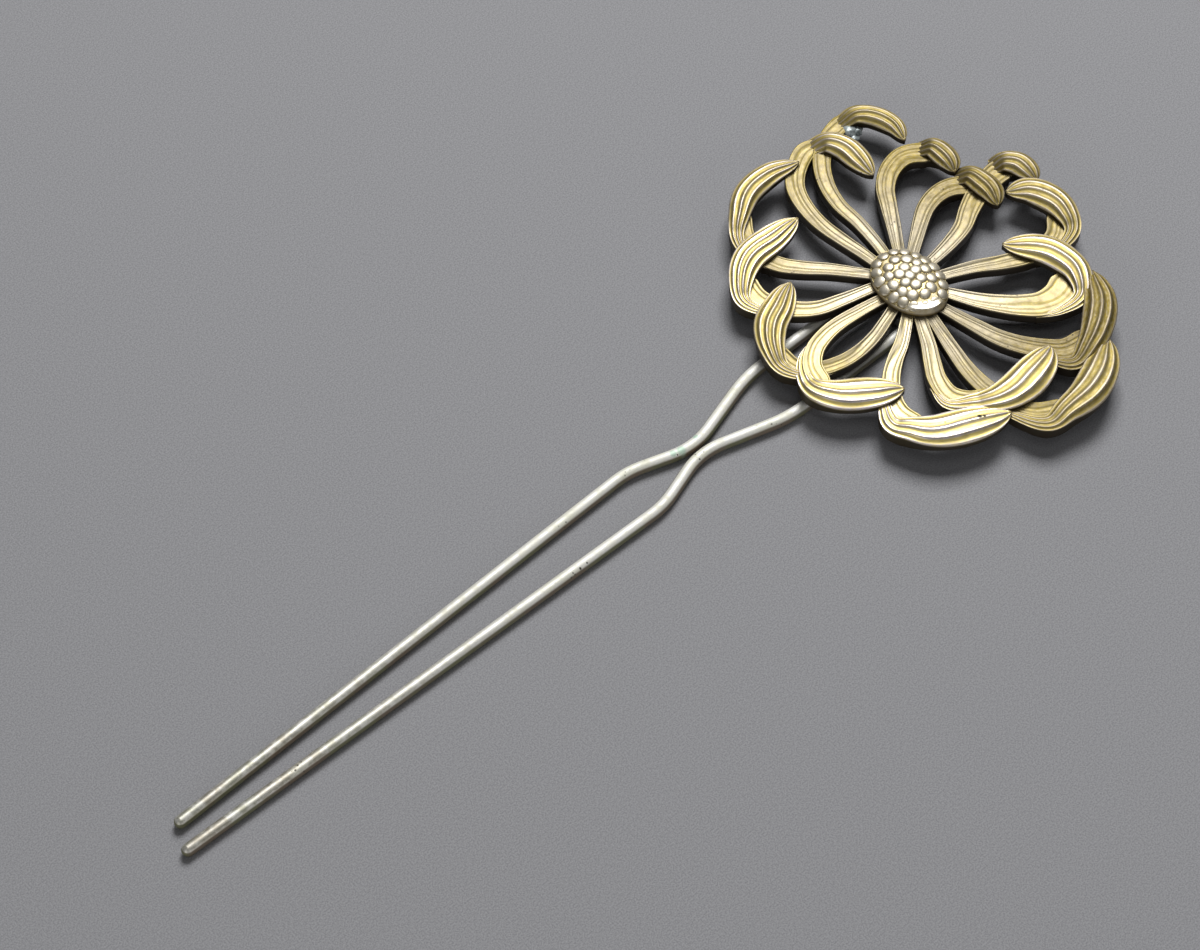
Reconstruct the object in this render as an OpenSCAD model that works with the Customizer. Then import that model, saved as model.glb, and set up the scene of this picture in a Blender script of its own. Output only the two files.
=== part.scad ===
// Kanzashi hairpin: an openwork chrysanthemum head on a fork of one bent wire, lying on its wires.
// X runs along the pin towards the flower, Y to its left and Z up. Lengths are in millimetres.
// The origin lies under the middle of the pin's box, in the plane that the wires rest on.

/* [Flower head] */
// Reach of the longest petals from the middle of the seed head
head_r = 28; // [25:0.5:32]
// Depth of a petal's ribbon from its face to its back
ribbon_t = 1.5; // [1.2:0.1:2]
// Width of a ribbon where it leaves the seed head
root_w = 1.5; // [1.2:0.1:2]
// Depth of the hollow along a ribbon's face
ribbon_dish = 0.15; // [0.05:0.05:0.3]
// Depth of the upright sides of a lobe
lobe_side = 0.8; // [0.6:0.1:1.2]
// Height of the sides' upper edges above the ribbons' faces
lobe_lift = 0.25; // [0.1:0.05:0.5]
// Rise of a lobe's crown above the upper edges of its sides
lobe_rise = 1; // [0.8:0.05:1.4]
// Number of cast ribs along a lobe
rib_n = 5; // [3:1:6]
// Height of the cast ribs above the grooves between them
rib_h = 0.2; // [0.1:0.05:0.3]

/* [Seed head] */
// Half length of the seed head, along the pin
seed_a = 4.2; // [3.8:0.1:4.8]
// Half width of the seed head, across the pin
seed_b = 5.6; // [5.2:0.1:6.2]
// Height of the seed head's plain rim
rim_h = 0.6; // [0.4:0.1:0.9]
// Rise of the dome above the rim
dome_h = 1.2; // [0.8:0.1:1.6]
// Diameter of a granule
granule_d = 1.15; // [1:0.05:1.3]
// Height of a granule above the dome
granule_h = 0.45; // [0.3:0.05:0.7]
// Number of rings of granules round the middle one
granule_rings = 3; // [2:1:3]

/* [Fork] */
// Diameter of the wire
wire_d = 1.6; // [1.3:0.1:2]
// Distance from the middle of the seed head to the end of the longer prong
prong_reach = 116.7; // [100:1:130]
// How much shorter the left prong is
prong_short = 1.6; // [0:0.1:3]
// Distance between the middles of the two prongs at their tips
tip_spread = 3.4; // [3.2:0.1:4.5]
// Distance between the middles of the two prongs at their shoulders
shoulder_spread = 6.55; // [6:0.05:7.2]
// Distance between the wires' middles where they run under the flower
bend_spread = 8; // [7.4:0.1:8.6]
// Open gap between the wires at the pinch
pinch_gap = 0.3; // [0.2:0.05:0.8]
// Distance from the middle of the seed head to the pinch
pinch_reach = 35.5; // [32:0.5:38]
// Length from the pinch to the shoulders
shoulder_run = 10.5; // [10:0.5:13]
// Length from the pinch to where the wires run parallel again
entry_run = 14.5; // [14:0.5:16]
// Radius of the wire's middle line round the shoulders
shoulder_r = 11.5; // [8:0.5:12.5]
// Radius of the wire's middle line round the pinch
pinch_r = 10; // [8:0.5:11]
// Radius of the wire's middle line where it straightens under the flower
entry_r = 19; // [16:0.5:20]
// Distance from the middle of the seed head back to the centre of the wire's hidden bend
bend_back = 1.4; // [1:0.1:2]
// Angle between the fork and the flower's own axis, in degrees
fork_lean = 0.43; // [0:0.01:1]
// Distance of the fork's axis to the left of the middle of the seed head
fork_aside = 0.5; // [0:0.1:0.8]

/* [Seats] */
// Clear gap between two pieces that are seated on each other
seat_gap = 0.05; // [0.03:0.01:0.1]
// Thickness of the saddle over the wire
saddle_top = 0.2; // [0.15:0.05:0.4]
// Height of the saddle's underside above the plane that the wires rest on
saddle_foot = 0.3; // [0.2:0.05:0.5]
// Radius of the saddle's rounded ends
saddle_r = 4.1; // [4:0.1:4.6]
// Distance between the centres of the saddle's rounded ends
saddle_run = 2.8; // [2.4:0.1:3.4]
// How far the hub stays inside the edge of the seed head
hub_inset = 0.3; // [0.2:0.05:0.5]

/* [Hidden] */

// The wire is a hair thicker round its bends than along its straight runs, and its rounded tips are a
// hair thinner. Each run laps into the bend or tip at both its ends.
bend_swell = 0.01;
run_lap = 0.05;

// Heights of the wire's middle line and of the seats above it
wire_z = (wire_d + bend_swell) / 2;
saddle_z = 2 * wire_z + saddle_top;
back_z = saddle_z + seat_gap;
face_z = back_z + ribbon_t;
seed_z = face_z + seat_gap;

// Columns of the petal table
ROOT = 0;
RIBBON = 1;
FOLD_W = 2;
LOBE = 3;
LOBE_W = 4;
LIFT = 5;

// The fifteen petals, counted clockwise from the pin as seen from above. A row holds the direction
// in which the ribbon leaves the seed head, in degrees; the ribbon's turning points; its width at the
// fold; the lobe's points from its heel to its tip; the lobe's greatest width; and how far the ribbon
// rides up where it crosses its neighbour. A point is [along the pin, across it]. Points and widths
// are shares of head_r, and the last column is a share of ribbon_t.
PETALS = [
    [198, [[-0.30, -0.10], [-0.45, -0.115], [-0.585, -0.085], [-0.68, -0.01], [-0.69, 0.12]], 0.09,
        [[-0.74, 0.03], [-0.71, 0.135], [-0.63, 0.235], [-0.525, 0.29], [-0.395, 0.355]], 0.16, 0],
    [138, [[-0.30, 0.145], [-0.415, 0.19], [-0.505, 0.28], [-0.555, 0.385], [-0.535, 0.50]], 0.115,
        [[-0.62, 0.42], [-0.54, 0.52], [-0.43, 0.58], [-0.29, 0.59], [-0.12, 0.60]], 0.16, 0],
    [116, [[-0.22, 0.32], [-0.34, 0.445], [-0.385, 0.575], [-0.37, 0.68], [-0.30, 0.785]], 0.11,
        [[-0.40, 0.70], [-0.31, 0.785], [-0.19, 0.8563], [-0.035, 0.8712], [0.11, 0.835]], 0.135, 0],
    [97, [[-0.035, 0.33], [-0.055, 0.50], [-0.025, 0.685], [0.06, 0.805], [0.20, 0.87]], 0.105,
        [[0.215, 0.875], [0.285, 0.835], [0.32, 0.758], [0.322, 0.66], [0.313, 0.553]], 0.14, 0],
    [78, [[0.075, 0.36], [0.09, 0.57], [0.165, 0.735], [0.285, 0.84], [0.44, 0.88]], 0.10,
        [[0.405, 0.89], [0.495, 0.866], [0.555, 0.80], [0.585, 0.70], [0.565, 0.605]], 0.12, 0],
    [60, [[0.21, 0.325], [0.315, 0.475], [0.435, 0.545], [0.54, 0.54], [0.60, 0.49]], 0.12,
        [[0.59, 0.54], [0.628, 0.487], [0.633, 0.427], [0.625, 0.37], [0.605, 0.32]], 0.13, 0],
    [42, [[0.245, 0.19], [0.355, 0.26], [0.455, 0.287], [0.54, 0.275], [0.60, 0.235]], 0.11,
        [[0.60, 0.31], [0.64, 0.26], [0.65, 0.195], [0.647, 0.125], [0.615, 0.05]], 0.135, 0],
    [12, [[0.285, 0.045], [0.415, 0.077], [0.535, 0.14], [0.67, 0.185], [0.80, 0.19]], 0.13,
        [[0.765, 0.24], [0.812, 0.216], [0.851, 0.165], [0.859, 0.10], [0.85, 0.035]], 0.135, 0],
    [339, [[0.285, -0.115], [0.415, -0.19], [0.555, -0.245], [0.695, -0.245], [0.785, -0.17]], 0.12,
        [[0.765, -0.275], [0.815, -0.182], [0.82, -0.08], [0.782, 0.018], [0.695, 0.08]], 0.16, 0],
    [306, [[0.18, -0.275], [0.275, -0.39], [0.365, -0.465], [0.465, -0.485], [0.55, -0.46]], 0.17,
        [[0.53, -0.56], [0.60, -0.48], [0.618, -0.39], [0.585, -0.26], [0.47, -0.12]], 0.165, 0],
    [277, [[0.06, -0.335], [0.105, -0.495], [0.185, -0.625], [0.275, -0.715], [0.38, -0.735]], 0.13,
        [[0.24, -0.795], [0.36, -0.775], [0.475, -0.715], [0.58, -0.625], [0.665, -0.495]], 0.16, 0],
    [257, [[-0.085, -0.325], [-0.13, -0.495], [-0.135, -0.67], [-0.085, -0.85], [0.035, -0.935]], 0.12,
        [[-0.08, -0.945], [0.04, -0.955], [0.17, -0.95], [0.31, -0.895], [0.445, -0.81]], 0.175, 0],
    [242, [[-0.175, -0.31], [-0.26, -0.435], [-0.287, -0.545], [-0.25, -0.625], [-0.16, -0.685]], 0.12,
        [[-0.25, -0.65], [-0.15, -0.71], [-0.03, -0.73], [0.10, -0.71], [0.225, -0.665]], 0.19, 0],
    [225, [[-0.235, -0.20], [-0.365, -0.275], [-0.465, -0.365], [-0.515, -0.465], [-0.505, -0.57]], 0.105,
        [[-0.59, -0.495], [-0.548, -0.577], [-0.463, -0.667], [-0.32, -0.74], [-0.16, -0.80]], 0.19, 0],
    [170, [[-0.285, 0.043], [-0.435, 0.048], [-0.565, 0.015], [-0.645, -0.055], [-0.67, -0.13]], 0.10,
        [[-0.70, -0.07], [-0.713, -0.15], [-0.66, -0.238], [-0.55, -0.32], [-0.42, -0.40]], 0.178, 0.4],
];

// Steps between two points of a petal's path
ribbon_steps = 3;
lobe_steps = 3;
// Share of the seed head's reach at which the ribbons start, inside the hub
root_share = 0.8;
// Share of a whole leaf's outline that is missing at a lobe's heel, which is therefore broad, and a
// lobe's least width at its tip
heel_start = 0.09;
tip_w = 0.25;
// Shares of a lobe's length at which its crown has its least height, near the heel and near the tip
heel_end = 0.06;
tip_end = 0.97;
// Width of the fold where it meets the ribbon, as a share of the ribbon's own width
fold_share = 0.5;
// How far towards its tip a leaf is widest, as a power, and how full its outline, its length and its
// cross section are, where 1 is slim and smaller powers are fuller
skew_power = 1.4;
leaf_power = 0.5;
swell_power = 0.6;
crown_power = 0.7;
// How full the dome of the seed head is, as the same kind of power
dome_power = 0.6;

// Share of the seed head's reach at which the outer ring of granules sits
granule_reach = 0.85;
// How many more granules each ring holds than the ring inside it
ring_more = 6;
// Points round the seed head to each granule of its outer ring
granule_steps = 6;
// Turn of each ring of granules from the ring inside it, in degrees
ring_turn = 10;
// Rows of points over one ring of granules, from its outer to its inner side, as shares of the rings'
// distance
ROWS = [0.35, 0.18, 0, -0.18, -0.35, -0.5];
// Share of the reach at which the flat top of the middle granule ends
top_share = 0.04;

// Smooth path through a list of points, with the given number of steps from each to the next
function between(a, b, c, d, t) =
    0.5 * (2 * b + (c - a) * t + (2 * a - 5 * b + 4 * c - d) * t * t + (3 * b - a - 3 * c + d) * t * t * t);
function smooth(points, steps) =
    let (
        n = len(points),
        all = concat([2 * points[0] - points[1]], points, [2 * points[n - 1] - points[n - 2]])
    )
    [
        for (i = [0 : n - 2]) for (k = [0 : steps - 1])
            between(all[i], all[i + 1], all[i + 2], all[i + 3], k / steps),
        points[n - 1]
    ];

// Unit vector to the left of a path at its point i
function left_of(path, i) =
    let (
        a = path[max(i - 1, 0)],
        b = path[min(i + 1, len(path) - 1)],
        d = (b - a) / norm(b - a)
    )
    [-d[1], d[0]];

// Point of the oval with the given half axes, in the direction of an angle
function oval_point(a, b, angle) =
    [cos(angle), sin(angle)] / norm([cos(angle) / a, sin(angle) / b]);

// One upright ring of a swept shape: the section's points are [share of the half width, height]
function ring(path, i, half_w, section) =
    let (side = left_of(path, i))
    [
        for (p = section)
            [path[i][0] + side[0] * half_w * p[0], path[i][1] + side[1] * half_w * p[0], p[1]]
    ];

// Ribbon of a petal, from inside the hub to its fold
function ribbon_path(petal) =
    smooth(
        concat(
            [oval_point(seed_a, seed_b, petal[ROOT]) * root_share],
            [for (p = petal[RIBBON]) p * head_r]
        ),
        ribbon_steps
    );
function ribbon_section(top) = [[1, back_z], [1, top], [0, top - ribbon_dish], [-1, top], [-1, back_z]];
function ribbon_rings(petal) =
    let (path = ribbon_path(petal), n = len(path) - 1)
    [
        for (i = [0 : n])
            let (
                half_w = (root_w + (petal[FOLD_W] * head_r - root_w) * i / n) / 2,
                top = face_z + petal[LIFT] * ribbon_t * i / n
            )
            ring(path, i, half_w, ribbon_section(top))
    ];

// Lobe of a petal, a leaf that swells from its broad heel and closes to a blunt point
function leaf(s) = pow(sin(180 * (heel_start + (1 - heel_start) * pow(s, skew_power))), leaf_power);
function lobe_path(petal) = smooth([for (p = petal[LOBE]) p * head_r], lobe_steps);
function lobe_section(edge, crown, rib) = [
    [1, edge - lobe_side],
    for (k = [0 : 2 * rib_n])
        let (x = 1 - k / rib_n)
        [x, edge + crown * pow(1 - x * x, crown_power) + rib * (k % 2)],
    [-1, edge - lobe_side]
];
function lobe_rings(petal) =
    let (path = lobe_path(petal), n = len(path) - 1)
    [
        for (i = [0 : n])
            let (
                s = i / n,
                half_w = max(tip_w, petal[LOBE_W] * head_r * leaf(s)) / 2,
                swell = pow(sin(180 * min(tip_end, max(heel_end, s))), swell_power)
            )
            ring(path, i, half_w, lobe_section(face_z + lobe_lift, lobe_rise * swell, rib_h * swell))
    ];

// Middle of the pin's box, which the origin lies under
all_rings = [for (p = PETALS) each concat(ribbon_rings(p), lobe_rings(p))];
all_x = [for (r = all_rings) for (p = r) p[0]];
all_y = [for (r = all_rings) for (p = r) p[1]];
function leaned(p) = [
    p[0] * cos(fork_lean) - p[1] * sin(fork_lean),
    p[0] * sin(fork_lean) + p[1] * cos(fork_lean) + fork_aside
];
long_tip = [-(prong_reach - wire_d / 2), -tip_spread / 2];
short_tip = [-(prong_reach - prong_short - wire_d / 2), tip_spread / 2];
box_start = min(leaned(long_tip)[0], leaned(short_tip)[0]) - (wire_d - bend_swell) / 2;
middle = [(box_start + max(all_x)) / 2, (min(all_y) + max(all_y)) / 2];

// Closed skin over a list of rings with equally many points each
module skin(rings) {
    n = len(rings[0]);
    m = len(rings);
    sides = [
        for (i = [0 : m - 2]) for (j = [0 : n - 1])
            let (a = i * n + j, b = i * n + (j + 1) % n)
            each [[a, a + n, b], [b, a + n, b + n]]
    ];
    start_cap = [for (j = [0 : n - 1]) j];
    end_cap = [for (j = [n - 1 : -1 : 0]) (m - 1) * n + j];
    polyhedron([for (r = rings) each r], concat(sides, [start_cap, end_cap]), convexity = 8);
}

module place_pin() {
    translate([-middle[0], -middle[1], 0]) children();
}

// The wire runs round pegs. A peg is [x, y, radius, turn], where turn is 1 for a turn to the left and
// -1 for a turn to the right, and a radius of 0 is a plain end.
half_pinch = (wire_d + pinch_gap) / 2;
left_pegs = [
    [-(pinch_reach + shoulder_run), shoulder_spread / 2 - shoulder_r, shoulder_r, -1],
    [-pinch_reach, half_pinch + pinch_r, pinch_r, 1],
    [-(pinch_reach - entry_run), bend_spread / 2 - entry_r, entry_r, -1]
];
right_pegs = [for (i = [2 : -1 : 0]) let (p = left_pegs[i]) [p[0], -p[1], p[2], p[3]]];
pegs = concat(
    [[short_tip[0], short_tip[1], 0, 1]],
    left_pegs,
    [[-bend_back, 0, bend_spread / 2, -1]],
    right_pegs,
    [[long_tip[0], long_tip[1], 0, 1]]
);

// Heading of the straight run from one peg to the next
function heading(a, b) =
    atan2(b[1] - a[1], b[0] - a[0])
    - asin((b[3] * b[2] - a[3] * a[2]) / norm([b[0] - a[0], b[1] - a[1]]));
// Point where a run with the given heading touches a peg
function touch(p, h) = [p[0] + p[3] * p[2] * sin(h), p[1] - p[3] * p[2] * cos(h)];
// Shortest signed turn from one heading to the next
function turn(a, b) = (b - a + 540) % 360 - 180;

module wire(d) {
    last = len(pegs) - 1;
    for (i = [0 : last - 1]) {
        h = heading(pegs[i], pegs[i + 1]);
        a = touch(pegs[i], h);
        b = touch(pegs[i + 1], h);
        translate([a[0], a[1], 0])
            rotate([0, 90, h])
            translate([0, 0, -run_lap])
            cylinder(d = d, h = norm(b - a) + 2 * run_lap, $fn = 48);
    }
    for (i = [1 : last - 1]) {
        peg = pegs[i];
        h_in = heading(pegs[i - 1], peg);
        h_out = heading(peg, pegs[i + 1]);
        translate([peg[0], peg[1], 0])
            rotate(peg[3] > 0 ? h_in - 90 : h_out + 90)
            rotate_extrude(angle = abs(turn(h_in, h_out)), $fn = 180)
            translate([peg[2], 0])
            circle(d = d + bend_swell, $fn = 48);
    }
    for (p = [pegs[0], pegs[last]]) translate([p[0], p[1], 0]) sphere(d = d - bend_swell, $fn = 48);
}

module place_fork() {
    translate([0, fork_aside, wire_z]) rotate(fork_lean) children();
}

module fork() {
    color("#c9c6ae") place_pin() place_fork() wire(wire_d);
}

// Pad that holds the wire's bend under the hub, with its two rounded ends across the pin
module saddle() {
    color("#9b9a90") place_pin() difference() {
        translate([0, fork_aside, saddle_foot]) {
            for (side = [-1, 1])
                translate([0, side * saddle_run / 2, 0])
                cylinder(r = saddle_r, h = saddle_z - saddle_foot, $fn = 72);
            translate([-saddle_r, -saddle_run / 2, 0])
                cube([2 * saddle_r, saddle_run, saddle_z - saddle_foot]);
        }
        place_fork() wire(wire_d + 2 * seat_gap);
    }
}

// The fold where a ribbon turns over into its lobe
module fold(petal) {
    ribbon = ribbon_path(petal);
    lobe = lobe_path(petal);
    ribbon_end = ribbon[len(ribbon) - 1];
    heel = lobe[1];
    hull() {
        translate([ribbon_end[0], ribbon_end[1], back_z])
            cylinder(d = fold_share * petal[FOLD_W] * head_r, h = ribbon_t, $fn = 8);
        translate([heel[0], heel[1], back_z])
            cylinder(d = leaf(0) * petal[LOBE_W] * head_r, h = ribbon_t, $fn = 8);
    }
}

module petals() {
    color("#b9a468") place_pin() {
        translate([0, 0, back_z])
            scale([seed_a - hub_inset, seed_b - hub_inset, 1]) cylinder(r = 1, h = ribbon_t, $fn = 48);
        for (petal = PETALS) {
            skin(ribbon_rings(petal));
            skin(lobe_rings(petal));
            fold(petal);
        }
    }
}

// Point of the seed head's plan at a share of its reach, so that equal angles lie evenly round the oval
even_turn = 45 / PI * (seed_b * seed_b - seed_a * seed_a) / (seed_b * seed_b + seed_a * seed_a);
function oval_place(s, angle) =
    let (even = angle - even_turn * sin(2 * angle))
    [seed_a * s * cos(even), seed_b * s * sin(even)];

// Share of the reach at which a ring of granules sits, and the middles of all granules
function ring_share(r) = granule_reach * r / granule_rings;
seats = [
    [0, 0],
    for (r = [1 : granule_rings]) for (k = [0 : ring_more * r - 1])
        oval_place(ring_share(r), 360 * k / (ring_more * r) + ring_turn * r)
];

// Height of the dome, and of the granule over it, at a point of the plan
function dome_z(s) = rim_h + dome_h * pow(1 - s * s, dome_power);
function granule_z(p) =
    let (d = 2 * min([for (q = seats) norm(p - q)]) / granule_d)
    d < 1 ? granule_h * sqrt(1 - d * d) : 0;

// Points round the seed head at a share of its reach, level or on the dome and its granules
row_points = ring_more * granule_rings * granule_steps;
function oval_row(s) = [for (k = [0 : row_points - 1]) oval_place(s, 360 * k / row_points)];
function level_row(s, z) = [for (p = oval_row(s)) [p[0], p[1], z]];
function dome_row(s) = [for (p = oval_row(s)) [p[0], p[1], dome_z(s) + granule_z(p)]];

module seed_head() {
    inner_rows = [
        for (r = [granule_rings : -1 : 0]) for (row = ROWS)
            let (s = ring_share(r + row))
            if (s > top_share) dome_row(s)
    ];
    top = level_row(top_share, dome_z(0) + granule_h);
    color("#a8a48f") place_pin() translate([0, 0, seed_z])
        skin(concat([level_row(1, 0), level_row(1, rim_h)], inner_rows, [top]));
}

fork();
saddle();
petals();
seed_head();
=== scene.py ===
"""Kanzashi hairpin: an openwork chrysanthemum head on a fork of one bent wire, lying on its wires.

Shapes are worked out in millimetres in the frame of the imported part, and become metres as each mesh is
made. X runs along the pin towards the flower, Y to its left and Z up.
"""

from __future__ import annotations

import logging
import math
from dataclasses import dataclass, field
from enum import Enum

import bpy
import numpy as np
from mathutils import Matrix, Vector


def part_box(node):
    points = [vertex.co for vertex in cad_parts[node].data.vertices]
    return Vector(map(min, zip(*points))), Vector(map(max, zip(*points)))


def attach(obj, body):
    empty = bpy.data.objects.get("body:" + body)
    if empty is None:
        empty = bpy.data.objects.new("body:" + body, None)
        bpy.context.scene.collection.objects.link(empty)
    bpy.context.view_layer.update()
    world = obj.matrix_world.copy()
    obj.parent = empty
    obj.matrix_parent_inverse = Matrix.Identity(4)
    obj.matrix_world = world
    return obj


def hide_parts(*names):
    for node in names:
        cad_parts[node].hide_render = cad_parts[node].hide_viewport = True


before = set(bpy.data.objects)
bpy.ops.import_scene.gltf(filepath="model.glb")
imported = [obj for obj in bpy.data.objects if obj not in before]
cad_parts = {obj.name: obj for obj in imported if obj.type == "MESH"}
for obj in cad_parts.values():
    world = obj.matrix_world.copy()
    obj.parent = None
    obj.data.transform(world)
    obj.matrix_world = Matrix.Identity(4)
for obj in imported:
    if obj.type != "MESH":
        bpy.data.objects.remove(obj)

LOG = logging.getLogger("kanzashi")
MM = 0.001
BODY = "root"
PHOTO_WIDE = 1200
# Points on a path that other points are measured along
FINE = 200
# Depth in metres of the finest marks on a surface
MARK_DEPTH = 0.00004
Colour = tuple[float, float, float]


class Slot(Enum):
    """Names of the record's material slots, which are logged with each piece."""

    SOLDER = "solder"
    GILDED_BRASS = "gilded_brass"
    WORN_BRASS = "worn_brass"


@dataclass(frozen=True)
class Seats:
    """Middle of the flower and the levels of its seats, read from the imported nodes, in mm.

    Args:
        middle: Middle of the seed head in the plan.
        back_z: Level of the petals' back.
        face_z: Level of the ribbons' faces.
        seed_z: Level of the seed head's underside.
    """

    middle: np.ndarray
    back_z: float
    face_z: float
    seed_z: float

    @classmethod
    def read(cls, seat_gap: float = 0.05) -> Seats:
        """Reads the levels from the frame.

        Args:
            seat_gap: Clear gap between the petals' hub and the seed head.

        Returns:
            The middle and the levels.
        """
        seed_low, seed_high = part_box("seed_head")
        petal_low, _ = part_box("petals")
        middle = np.array([seed_low.x + seed_high.x, seed_low.y + seed_high.y]) / 2 / MM
        seed_z = seed_low.z / MM
        return cls(middle, petal_low.z / MM, seed_z - seat_gap, seed_z)


@dataclass(frozen=True)
class Petal:
    """One petal in the flower's own plan, where lengths are shares of the longest petal's reach.

    Args:
        root: Direction in which the ribbon leaves the seed head, in degrees.
        ribbon: The ribbon's turning points.
        fold_w: The ribbon's width at the fold.
        lobe: The lobe's points from its heel to its tip.
        lobe_w: The lobe's greatest width.
        lift: Rise of the ribbon where it crosses its neighbour, as a share of its depth.
        ribs: Number of cast ribs along the lobe.
        shine: How far the petal is worn bright and how much painted highlight it gets, below 0 where it is
            painted a browner gold for age and painted shade.
        tail: Length of the lobe's tail along the ribbon, where 1 is a long one.
    """

    root: float
    ribbon: tuple[tuple[float, float], ...]
    fold_w: float
    lobe: tuple[tuple[float, float], ...]
    lobe_w: float
    lift: float = 0.0
    ribs: int = 5
    shine: float = 0.3
    tail: float = 1.0


PETALS = (
    Petal(198, ((-0.30, -0.10), (-0.45, -0.115), (-0.585, -0.085), (-0.68, -0.01), (-0.69, 0.12)), 0.09,
          ((-0.74, 0.03), (-0.71, 0.135), (-0.63, 0.235), (-0.525, 0.29), (-0.395, 0.355)), 0.16, 0, 6, 0.4),
    Petal(138, ((-0.30, 0.145), (-0.415, 0.19), (-0.505, 0.28), (-0.555, 0.385), (-0.535, 0.50)), 0.115,
          ((-0.62, 0.42), (-0.54, 0.52), (-0.43, 0.58), (-0.29, 0.59), (-0.12, 0.60)), 0.16, 0, 6, 0.75),
    Petal(116, ((-0.22, 0.32), (-0.34, 0.445), (-0.385, 0.575), (-0.37, 0.68), (-0.30, 0.785)), 0.11,
          ((-0.40, 0.70), (-0.31, 0.785), (-0.19, 0.8563), (-0.035, 0.8712), (0.11, 0.835)),
          0.135, 0, 5, 0.38),
    Petal(97, ((-0.035, 0.33), (-0.055, 0.50), (-0.025, 0.685), (0.06, 0.805), (0.20, 0.87)), 0.105,
          ((0.215, 0.875), (0.285, 0.835), (0.32, 0.758), (0.322, 0.66), (0.313, 0.553)),
          0.14, 0, 5, 0.28, 0),
    Petal(78, ((0.075, 0.36), (0.09, 0.57), (0.165, 0.735), (0.285, 0.84), (0.44, 0.88)), 0.10,
          ((0.405, 0.89), (0.495, 0.866), (0.555, 0.80), (0.585, 0.70), (0.565, 0.605)), 0.12, 0, 5, 0.2, 0),
    Petal(60, ((0.21, 0.325), (0.315, 0.475), (0.435, 0.545), (0.54, 0.54), (0.60, 0.49)), 0.12,
          ((0.59, 0.54), (0.628, 0.487), (0.633, 0.427), (0.625, 0.37), (0.605, 0.32)), 0.13, 0, 5, 0.1, 0),
    Petal(42, ((0.245, 0.19), (0.355, 0.26), (0.455, 0.287), (0.54, 0.275), (0.60, 0.235)), 0.11,
          ((0.60, 0.31), (0.64, 0.26), (0.65, 0.195), (0.647, 0.125), (0.615, 0.05)), 0.135, 0, 5, 0.05, 0),
    Petal(12, ((0.285, 0.045), (0.415, 0.077), (0.535, 0.14), (0.67, 0.185), (0.80, 0.19)), 0.13,
          ((0.765, 0.24), (0.812, 0.216), (0.851, 0.165), (0.859, 0.10), (0.85, 0.035)),
          0.135, 0, 5, 0.15, 0),
    Petal(339, ((0.285, -0.115), (0.415, -0.19), (0.555, -0.245), (0.695, -0.245), (0.785, -0.17)), 0.12,
          ((0.765, -0.275), (0.815, -0.182), (0.82, -0.08), (0.782, 0.018), (0.695, 0.08)),
          0.16, 0, 5, 0.22),
    Petal(306, ((0.18, -0.275), (0.275, -0.39), (0.365, -0.465), (0.465, -0.485), (0.55, -0.46)), 0.17,
          ((0.53, -0.56), (0.60, -0.48), (0.618, -0.39), (0.585, -0.26), (0.47, -0.12)), 0.165, 0, 5, 0.5),
    Petal(277, ((0.06, -0.335), (0.105, -0.495), (0.185, -0.625), (0.275, -0.715), (0.38, -0.735)), 0.13,
          ((0.24, -0.795), (0.36, -0.775), (0.475, -0.715), (0.58, -0.625), (0.665, -0.495)),
          0.16, 0, 5, -0.02),
    Petal(257, ((-0.085, -0.325), (-0.13, -0.495), (-0.135, -0.67), (-0.085, -0.85), (0.035, -0.935)), 0.12,
          ((-0.08, -0.945), (0.04, -0.955), (0.17, -0.95), (0.31, -0.895), (0.445, -0.81)),
          0.175, 0, 5, 0.18),
    Petal(242, ((-0.175, -0.31), (-0.26, -0.435), (-0.287, -0.545), (-0.25, -0.625), (-0.16, -0.685)), 0.12,
          ((-0.25, -0.65), (-0.15, -0.71), (-0.03, -0.73), (0.10, -0.71), (0.225, -0.665)), 0.19, 0, 5, 0.5),
    Petal(225, ((-0.235, -0.20), (-0.365, -0.275), (-0.465, -0.365), (-0.515, -0.465), (-0.505, -0.57)),
          0.105,
          ((-0.59, -0.495), (-0.548, -0.577), (-0.463, -0.667), (-0.32, -0.74), (-0.16, -0.80)),
          0.19, 0, 5, 1.0),
    Petal(170, ((-0.285, 0.043), (-0.435, 0.048), (-0.565, 0.015), (-0.645, -0.055), (-0.67, -0.13)), 0.10,
          ((-0.70, -0.07), (-0.713, -0.15), (-0.66, -0.238), (-0.55, -0.32), (-0.42, -0.40)),
          0.178, 0.4, 5, 0.95),
)


def resampled(path: np.ndarray, count: int) -> np.ndarray:
    """Spreads points evenly along a path.

    Args:
        path: Points of the path, one a row.
        count: Number of points wanted.

    Returns:
        The evenly spread points.
    """
    steps = np.linalg.norm(np.diff(path, axis=0), axis=1)
    length = np.concatenate([[0.0], np.cumsum(steps)])
    wanted = np.linspace(0.0, length[-1], count)
    return np.column_stack([np.interp(wanted, length, path[:, k]) for k in range(path.shape[1])])


def smooth_path(points: np.ndarray, count: int) -> np.ndarray:
    """Smooth curve through some points, with evenly spread points of its own.

    Args:
        points: Points that the curve passes through, one a row.
        count: Number of points wanted.

    Returns:
        The points of the curve.
    """
    ends = np.vstack([2 * points[0] - points[1], points, 2 * points[-1] - points[-2]])
    t = np.linspace(0.0, 1.0, 24, endpoint=False)[:, None]
    runs = []
    for i in range(len(points) - 1):
        a, b, c, d = ends[i:i + 4]
        runs.append(0.5 * (2 * b + (c - a) * t + (2 * a - 5 * b + 4 * c - d) * t ** 2
                           + (3 * b - a - 3 * c + d) * t ** 3))
    return resampled(np.vstack(runs + [points[-1:]]), count)


def left_of(path: np.ndarray) -> np.ndarray:
    """Unit vectors to the left of a path in the plan.

    Args:
        path: Points of the path.

    Returns:
        One vector for each point.
    """
    along = np.gradient(path, axis=0)
    along /= np.linalg.norm(along, axis=1)[:, None]
    return np.column_stack([-along[:, 1], along[:, 0]])


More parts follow.
